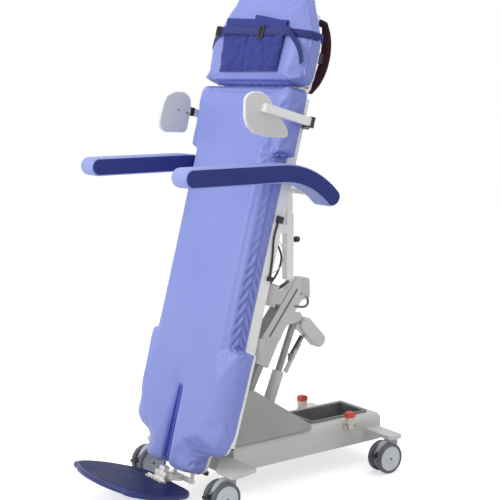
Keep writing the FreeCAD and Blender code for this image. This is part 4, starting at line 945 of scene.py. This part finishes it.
# castor wheels: pale discs in dark tyres, one pair modelled and copied
wheel = {"disc": [(0.0148, 0.0062), (0.0148, 0.0505), (0.0355, 0.0505), (0.0362, 0.0475), (0.0335, 0.044),
                  (0.0335, 0.024), (0.036, 0.02), (0.0392, 0.018), (0.0398, 0.0145), (0.0398, 0.0062)],
         "tyre": [(0.015, 0.0508), (0.015, 0.0585), (0.0185, 0.0622), (0.024, 0.0625), (0.0262, 0.0612),
                  (0.0284, 0.0625), (0.034, 0.062), (0.0378, 0.0585), (0.038, 0.0545), (0.0362, 0.0508)]}
hubs = {"front_right": (0.26, -0.2427, 0.0625), "front_left": (-0.26, -0.2427, 0.0625),
        "rear_right": (0.268, 0.5673, 0.0625), "rear_left": (-0.268, 0.5673, 0.0625)}
firstHub = Vector(hubs["front_right"])
firstPieces = {}
for part in ("disc", "tyre"):
    halves = [lathe(part, [(flip * run, radius) for run, radius in wheel[part]], 48, "X", firstHub)
              for flip in (1, -1)]
    firstPieces[part] = joinPieces(part + "_first", halves)
for word, hub in hubs.items():
    for part in ("disc", "tyre"):
        piece = bpy.data.objects.new("wheel_" + part + "_" + word, firstPieces[part].data.copy())
        bpy.context.scene.collection.objects.link(piece)
        place(piece, Matrix.Translation(Vector(hub) - firstHub))
        addPiece(piece, piece.name, "wheels_" + word, "castor_wheel")
        if part == "tyre":
            recolour(piece, "tyre")
            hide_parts("castor_" + word + "_wheels")
for piece in firstPieces.values():
    bpy.data.objects.remove(piece)

# green tips of the pedals
tip = {"lows": (0.147, -0.167), "rows": (0.4406, 0.403), "reach": 0.0463, "deep": 0.0084, "wide": 0.0204,
       "over": 0.0004}
tips = []
for x in tip["lows"]:
    for y in tip["rows"]:
        front = y + tip["reach"]
        low = (x - tip["over"], front - tip["over"], 0.1756)
        high = (x + tip["wide"], front + tip["deep"] - tip["over"], 0.1884)
        tips.append(softBox("tip", low, high, 0.0015))
addPiece(joinPieces("pedalTips", tips), "pedalTips", "pedals", "pale_plastic")
recolour(bpy.data.objects["pedalTips"], "tipGreen")

# cables that are clipped to the back of the table, each held at both ends
cables = {
    "cableDark": ([(0.19, 0.124, 1.176), (0.19, 0.142, 1.14), (0.187, 0.166, 1.1), (0.178, 0.178, 1.06),
                   (0.17, 0.16, 1.015), (0.168, 0.124, 0.99)], 0.006, "black_plastic"),
    "cableThinA": ([(0.244, 0.115, 1.052), (0.22, 0.15, 1.052), (0.19, 0.196, 1.04), (0.165, 0.205, 1.0),
                    (0.165, 0.124, 0.977)], 0.002, "light_plastic"),
    "cableThinB": ([(0.243, 0.12, 0.936), (0.215, 0.165, 0.93), (0.195, 0.222, 0.89), (0.195, 0.224, 0.85),
                    (0.22, 0.17, 0.81), (0.243, 0.12, 0.8)], 0.002, "light_plastic"),
    "cableLoop": ([(0.24, 0.122, 0.745), (0.215, 0.165, 0.762), (0.19, 0.215, 0.83), (0.18, 0.215, 0.9),
                   (0.18, 0.124, 0.966)], 0.0042, "black_plastic"),
}
for cableName, (points, radius, slotName) in cables.items():
    cable = tube(cableName, points, radius, onTable)
    addPiece(cable, cableName, "table", slotName)
print("small fittings made")

# lifting arm: front plate painted darker as painted shade, raised edge along its side, a dark strip over the
# groove as painted shade, and a cover over the top
onColumn = Matrix.Translation((0.0, 0.1223, 0.46)) @ Matrix.Rotation(math.radians(-28), 4, "X")
arm = {"half": 0.0283, "front": [(-0.0655, 0.094), (-0.0135, 0.384), (-0.0115, 0.3838), (-0.0635, 0.0936)],
       "edge": [(-0.0635, 0.1), (-0.0125, 0.3815), (0.014, 0.389), (-0.0375, 0.1)],
       "groove": [(-0.0345, 0.118), (0.0055, 0.342), (0.0165, 0.342), (-0.0235, 0.118)],
       "cover": [(0.012, 0.393), (0.044, 0.405), (0.052, 0.403), (0.09, 0.338), (0.086, 0.3305),
                 (0.052, 0.309), (0.036, 0.345)]}
# the front plate is a darker copy of the arm's grey: painted shade on the face that looks forward and down
frontPlateShade = slab("armFront", arm["front"], 2 * arm["half"], "YZ", -arm["half"])
bevelEdges(frontPlateShade, 0.0006, 1)
place(frontPlateShade, onColumn)
addPiece(frontPlateShade, "armFront", "lift", "grey_paint")
recolour(frontPlateShade, "armPaintedShade")
for word, side in sides.items():
    edge = slab("armEdge_" + word, arm["edge"], 0.0035, "YZ", 0.0278 if side > 0 else -0.0313)
    bevelEdges(edge, 0.0012, 2)
    place(edge, onColumn)
    addPiece(edge, edge.name, "lift", "light_plastic")
    # dark strip over the groove: painted shade in the recess
    groove = slab("armGroovePaintedShade_" + word, arm["groove"], 0.0014, "YZ", 0.0278 if side > 0 else -0.0292)
    place(groove, onColumn)
    addPiece(groove, groove.name, "lift", "dark_grey_plastic")
cover = slab("armCover", arm["cover"], 0.062, "YZ", -0.031)
bevelEdges(cover, 0.005, 3, 40)
place(cover, onColumn)
addPiece(cover, "armCover", "lift", "motor_plastic")
smooth(cover, 40)
liftCables = {
    "armLoop": ([(0.024, 0.31, 0.735), (0.027, 0.343, 0.722), (0.03, 0.351, 0.695), (0.03, 0.334, 0.677),
                 (0.028, 0.29, 0.684), (0.02, 0.27, 0.69)], 0.0055, "dark_steel"),
    "motorLead": ([(0.052, 0.17, 0.772), (0.05, 0.196, 0.782), (0.044, 0.222, 0.79), (0.02, 0.25, 0.79)],
                  0.0065, "black_plastic"),
}
for cableName, (points, radius, slotName) in liftCables.items():
    addPiece(tube(cableName, points, radius), cableName, "lift", slotName)

# actuator: pale sleeve over the conduit and a dark rod beside it
sleeve = tube("conduitSleeve", [(0, 0.2548, 0.4107), (0, 0.28, 0.449), (0, 0.3115, 0.497)], 0.0098, None, 6)
addPiece(sleeve, "conduitSleeve", "actuator_rod", "light_plastic")
darkRod = tube("limitRod", [(0, 0.2797, 0.4788), (0, 0.305, 0.5125), (0, 0.336, 0.5534)], 0.005, None, 5)
addPiece(darkRod, "limitRod", "actuator_rod", "black_plastic")
clip = softBox("limitClip", (-0.007, 0.272, 0.455), (0.007, 0.292, 0.486), 0.002)
addPiece(clip, "limitClip", "actuator_rod", "dark_steel")
recolour(nodes["ram_rod"], "rodGrey")
recolour(nodes["column_tube"], "rodGrey")
print("arm and actuator fittings made")
